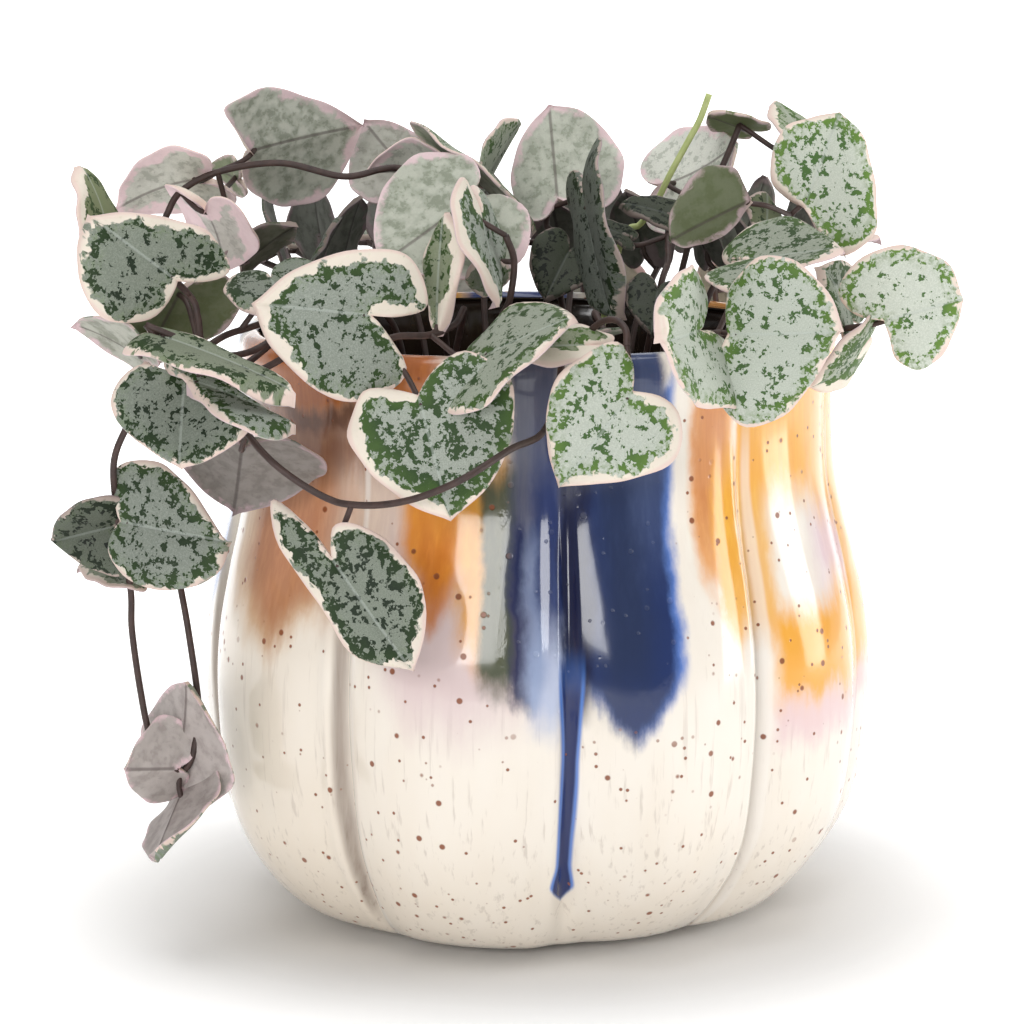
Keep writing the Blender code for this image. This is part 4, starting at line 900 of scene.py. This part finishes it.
plant = {**STRANDS, **back_strands()}
for number, (name, ((x, y), stem_points, leaves)) in enumerate(plant.items()):
    run = [(x, y, SOIL_TOP - ROOT_DEPTH), (x, y, SOIL_TOP + 1.0), *stem_points]
    rng = np.random.default_rng(40 + number)
    # a part is its points, its faces, its material's number and its values for the material
    parts = [(*stalk(run, STEM_RADIUS), 0, {})]
    looks = LOOKS.get(name, [])
    for k, row in enumerate(leaves):
        look = looks[k] if k < len(looks) else back_look(rng, k < 2)
        base = np.array(row[0], float)
        length, t, n, w = leaf_axes(row)
        # the stalk leaves the stem at its nearest point and comes to the leaf from below
        start = min((np.array(p) for p in stem_points), key=lambda p: np.linalg.norm(p - base))
        end = base + 0.1 * length * t
        reach = np.linalg.norm(end - start)
        bend = end - 0.35 * reach * n - 0.3 * reach * t
        mid = 0.25 * start + 0.5 * bend + 0.25 * end
        parts.append((*stalk([start, mid, end], STALK_RADIUS, 8, 0.6), 0, {}))
        points, quads, data = blade(row, look, number * 13 + k)
        parts.append((points, quads, 1, data))
    verts = np.concatenate([p[0] for p in parts])
    starts = np.cumsum([0] + [len(p[0]) for p in parts])
    faces = np.concatenate([p[1] + s for p, s in zip(parts, starts)])
    mesh = bpy.data.meshes.new(name + "_strand")
    mesh.from_pydata(verts * MM, [], faces.tolist())
    slots = np.concatenate([np.full(len(p[1]), p[2]) for p in parts]).astype(np.int32)
    mesh.polygons.foreach_set("material_index", slots)
    for key in LEAF_DATA:
        layer = mesh.attributes.new(key, "FLOAT", "POINT")
        values = np.concatenate([p[3].get(key, np.zeros(len(p[0]))) for p in parts])
        layer.data.foreach_set("value", values.astype(np.float32))
    weld(mesh)
    mesh.shade_smooth()
    wood = pale_twig if name == "shoot" else twig
    strand = piece(name + "_strand", mesh, wood.material, leaf.material)
    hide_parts(name)

# The studio: a white sweep, a floor that bends up into a wall behind. A window stands high
# in front on the left, a narrower one on the right, and a broad, soft light above.
# Metres from here on.
SWEEP_HALF = 3.0
BEND_START, BEND_RADIUS = 1.3, 0.7
bend = [(BEND_START + BEND_RADIUS * math.sin(a), BEND_RADIUS - BEND_RADIUS * math.cos(a))
        for a in np.linspace(0.1, 1.57, 14)]
run = [(-2.5, 0.0), (0.0, 0.0), (BEND_START, 0.0), *bend, (BEND_START + BEND_RADIUS, 2.5)]
sweep = np.array([[(x, y, z) for x in (-SWEEP_HALF, SWEEP_HALF)] for y, z in run])
sweep_mesh = grid_mesh("studio_sweep", sweep / MM, closed_across=False)
paper = Finish("white_paper", Base_Color=(0.9, 0.9, 0.9, 1), Roughness=0.9, Emission_Strength=1.0)
# painted light: the paper glows a little away from the pot and not near it, so that it burns out to white
away = paper.node("ShaderNodeVectorMath", {"operation": "LENGTH"}, out=1, i0=paper.place())
aside = abs(paper.node("ShaderNodeSeparateXYZ", out=0, i0=paper.place()))
behind = paper.node("ShaderNodeSeparateXYZ", out=1, i0=paper.place())
near = paper.smooth(away, 0.045, 0.08) * 0.42
painted_glow = paper.smooth(away, 0.07, 0.24) * paper.smooth(aside, 0.75, 0.5)
painted_glow = painted_glow * paper.smooth(behind, -0.1, 0.25)
white = paper.mix(near.most(painted_glow), (0.0, 0.0, 0.0), (0.95, 0.95, 0.95))
feed(paper.tree, paper.shader.inputs["Emission Color"], white)
floor = bpy.data.objects.new("studio_sweep", sweep_mesh)
scene.collection.objects.link(floor)
sweep_mesh.materials.append(paper.material)

world = bpy.data.worlds.new("studio_air")
world.use_nodes = True
air = world.node_tree.nodes["Background"].inputs
air["Color"].default_value = (1, 1, 1, 1)
air["Strength"].default_value = 0.3
scene.world = world


def look_at(ob, place, aim):
    """Puts a light or a camera in its place and turns it towards a point."""
    ob.location = place
    ob.rotation_euler = (Vector(aim) - Vector(place)).to_track_quat("-Z", "Y").to_euler()
    scene.collection.objects.link(ob)


def panel(name, place, aim, width, height, power):
    """A soft rectangular light that looks at a point."""
    lamp = bpy.data.lights.new(name, "AREA")
    lamp.shape = "RECTANGLE"
    lamp.size = width
    lamp.size_y = height
    lamp.energy = power
    look_at(bpy.data.objects.new(name, lamp), place, aim)


panel("window_front", (-0.22, -0.90, 0.30), (0, 0, 0.055), 0.46, 0.24, 2.9)
panel("window_side", (0.62, 0.02, 0.16), (0, 0, 0.055), 0.25, 0.35, 1.4)
panel("top_fill", (-0.05, -0.1, 0.9), (0, 0, 0.05), 0.7, 0.7, 3.6)

# the photo's focal length, fitted in pixels of its width
FOCAL_PX, WIDTH_PX = 3714, 1024
eye = bpy.data.cameras.new("photo_camera")
eye.sensor_width = 36
eye.lens = eye.sensor_width * FOCAL_PX / WIDTH_PX
eye.clip_start = 0.05
eye_ob = bpy.data.objects.new("photo_camera", eye)
look_at(eye_ob, (-0.0035, -0.520, 0.142), (-0.0035, 0, 0.056))
scene.camera = eye_ob
scene.view_settings.view_transform = "Standard"
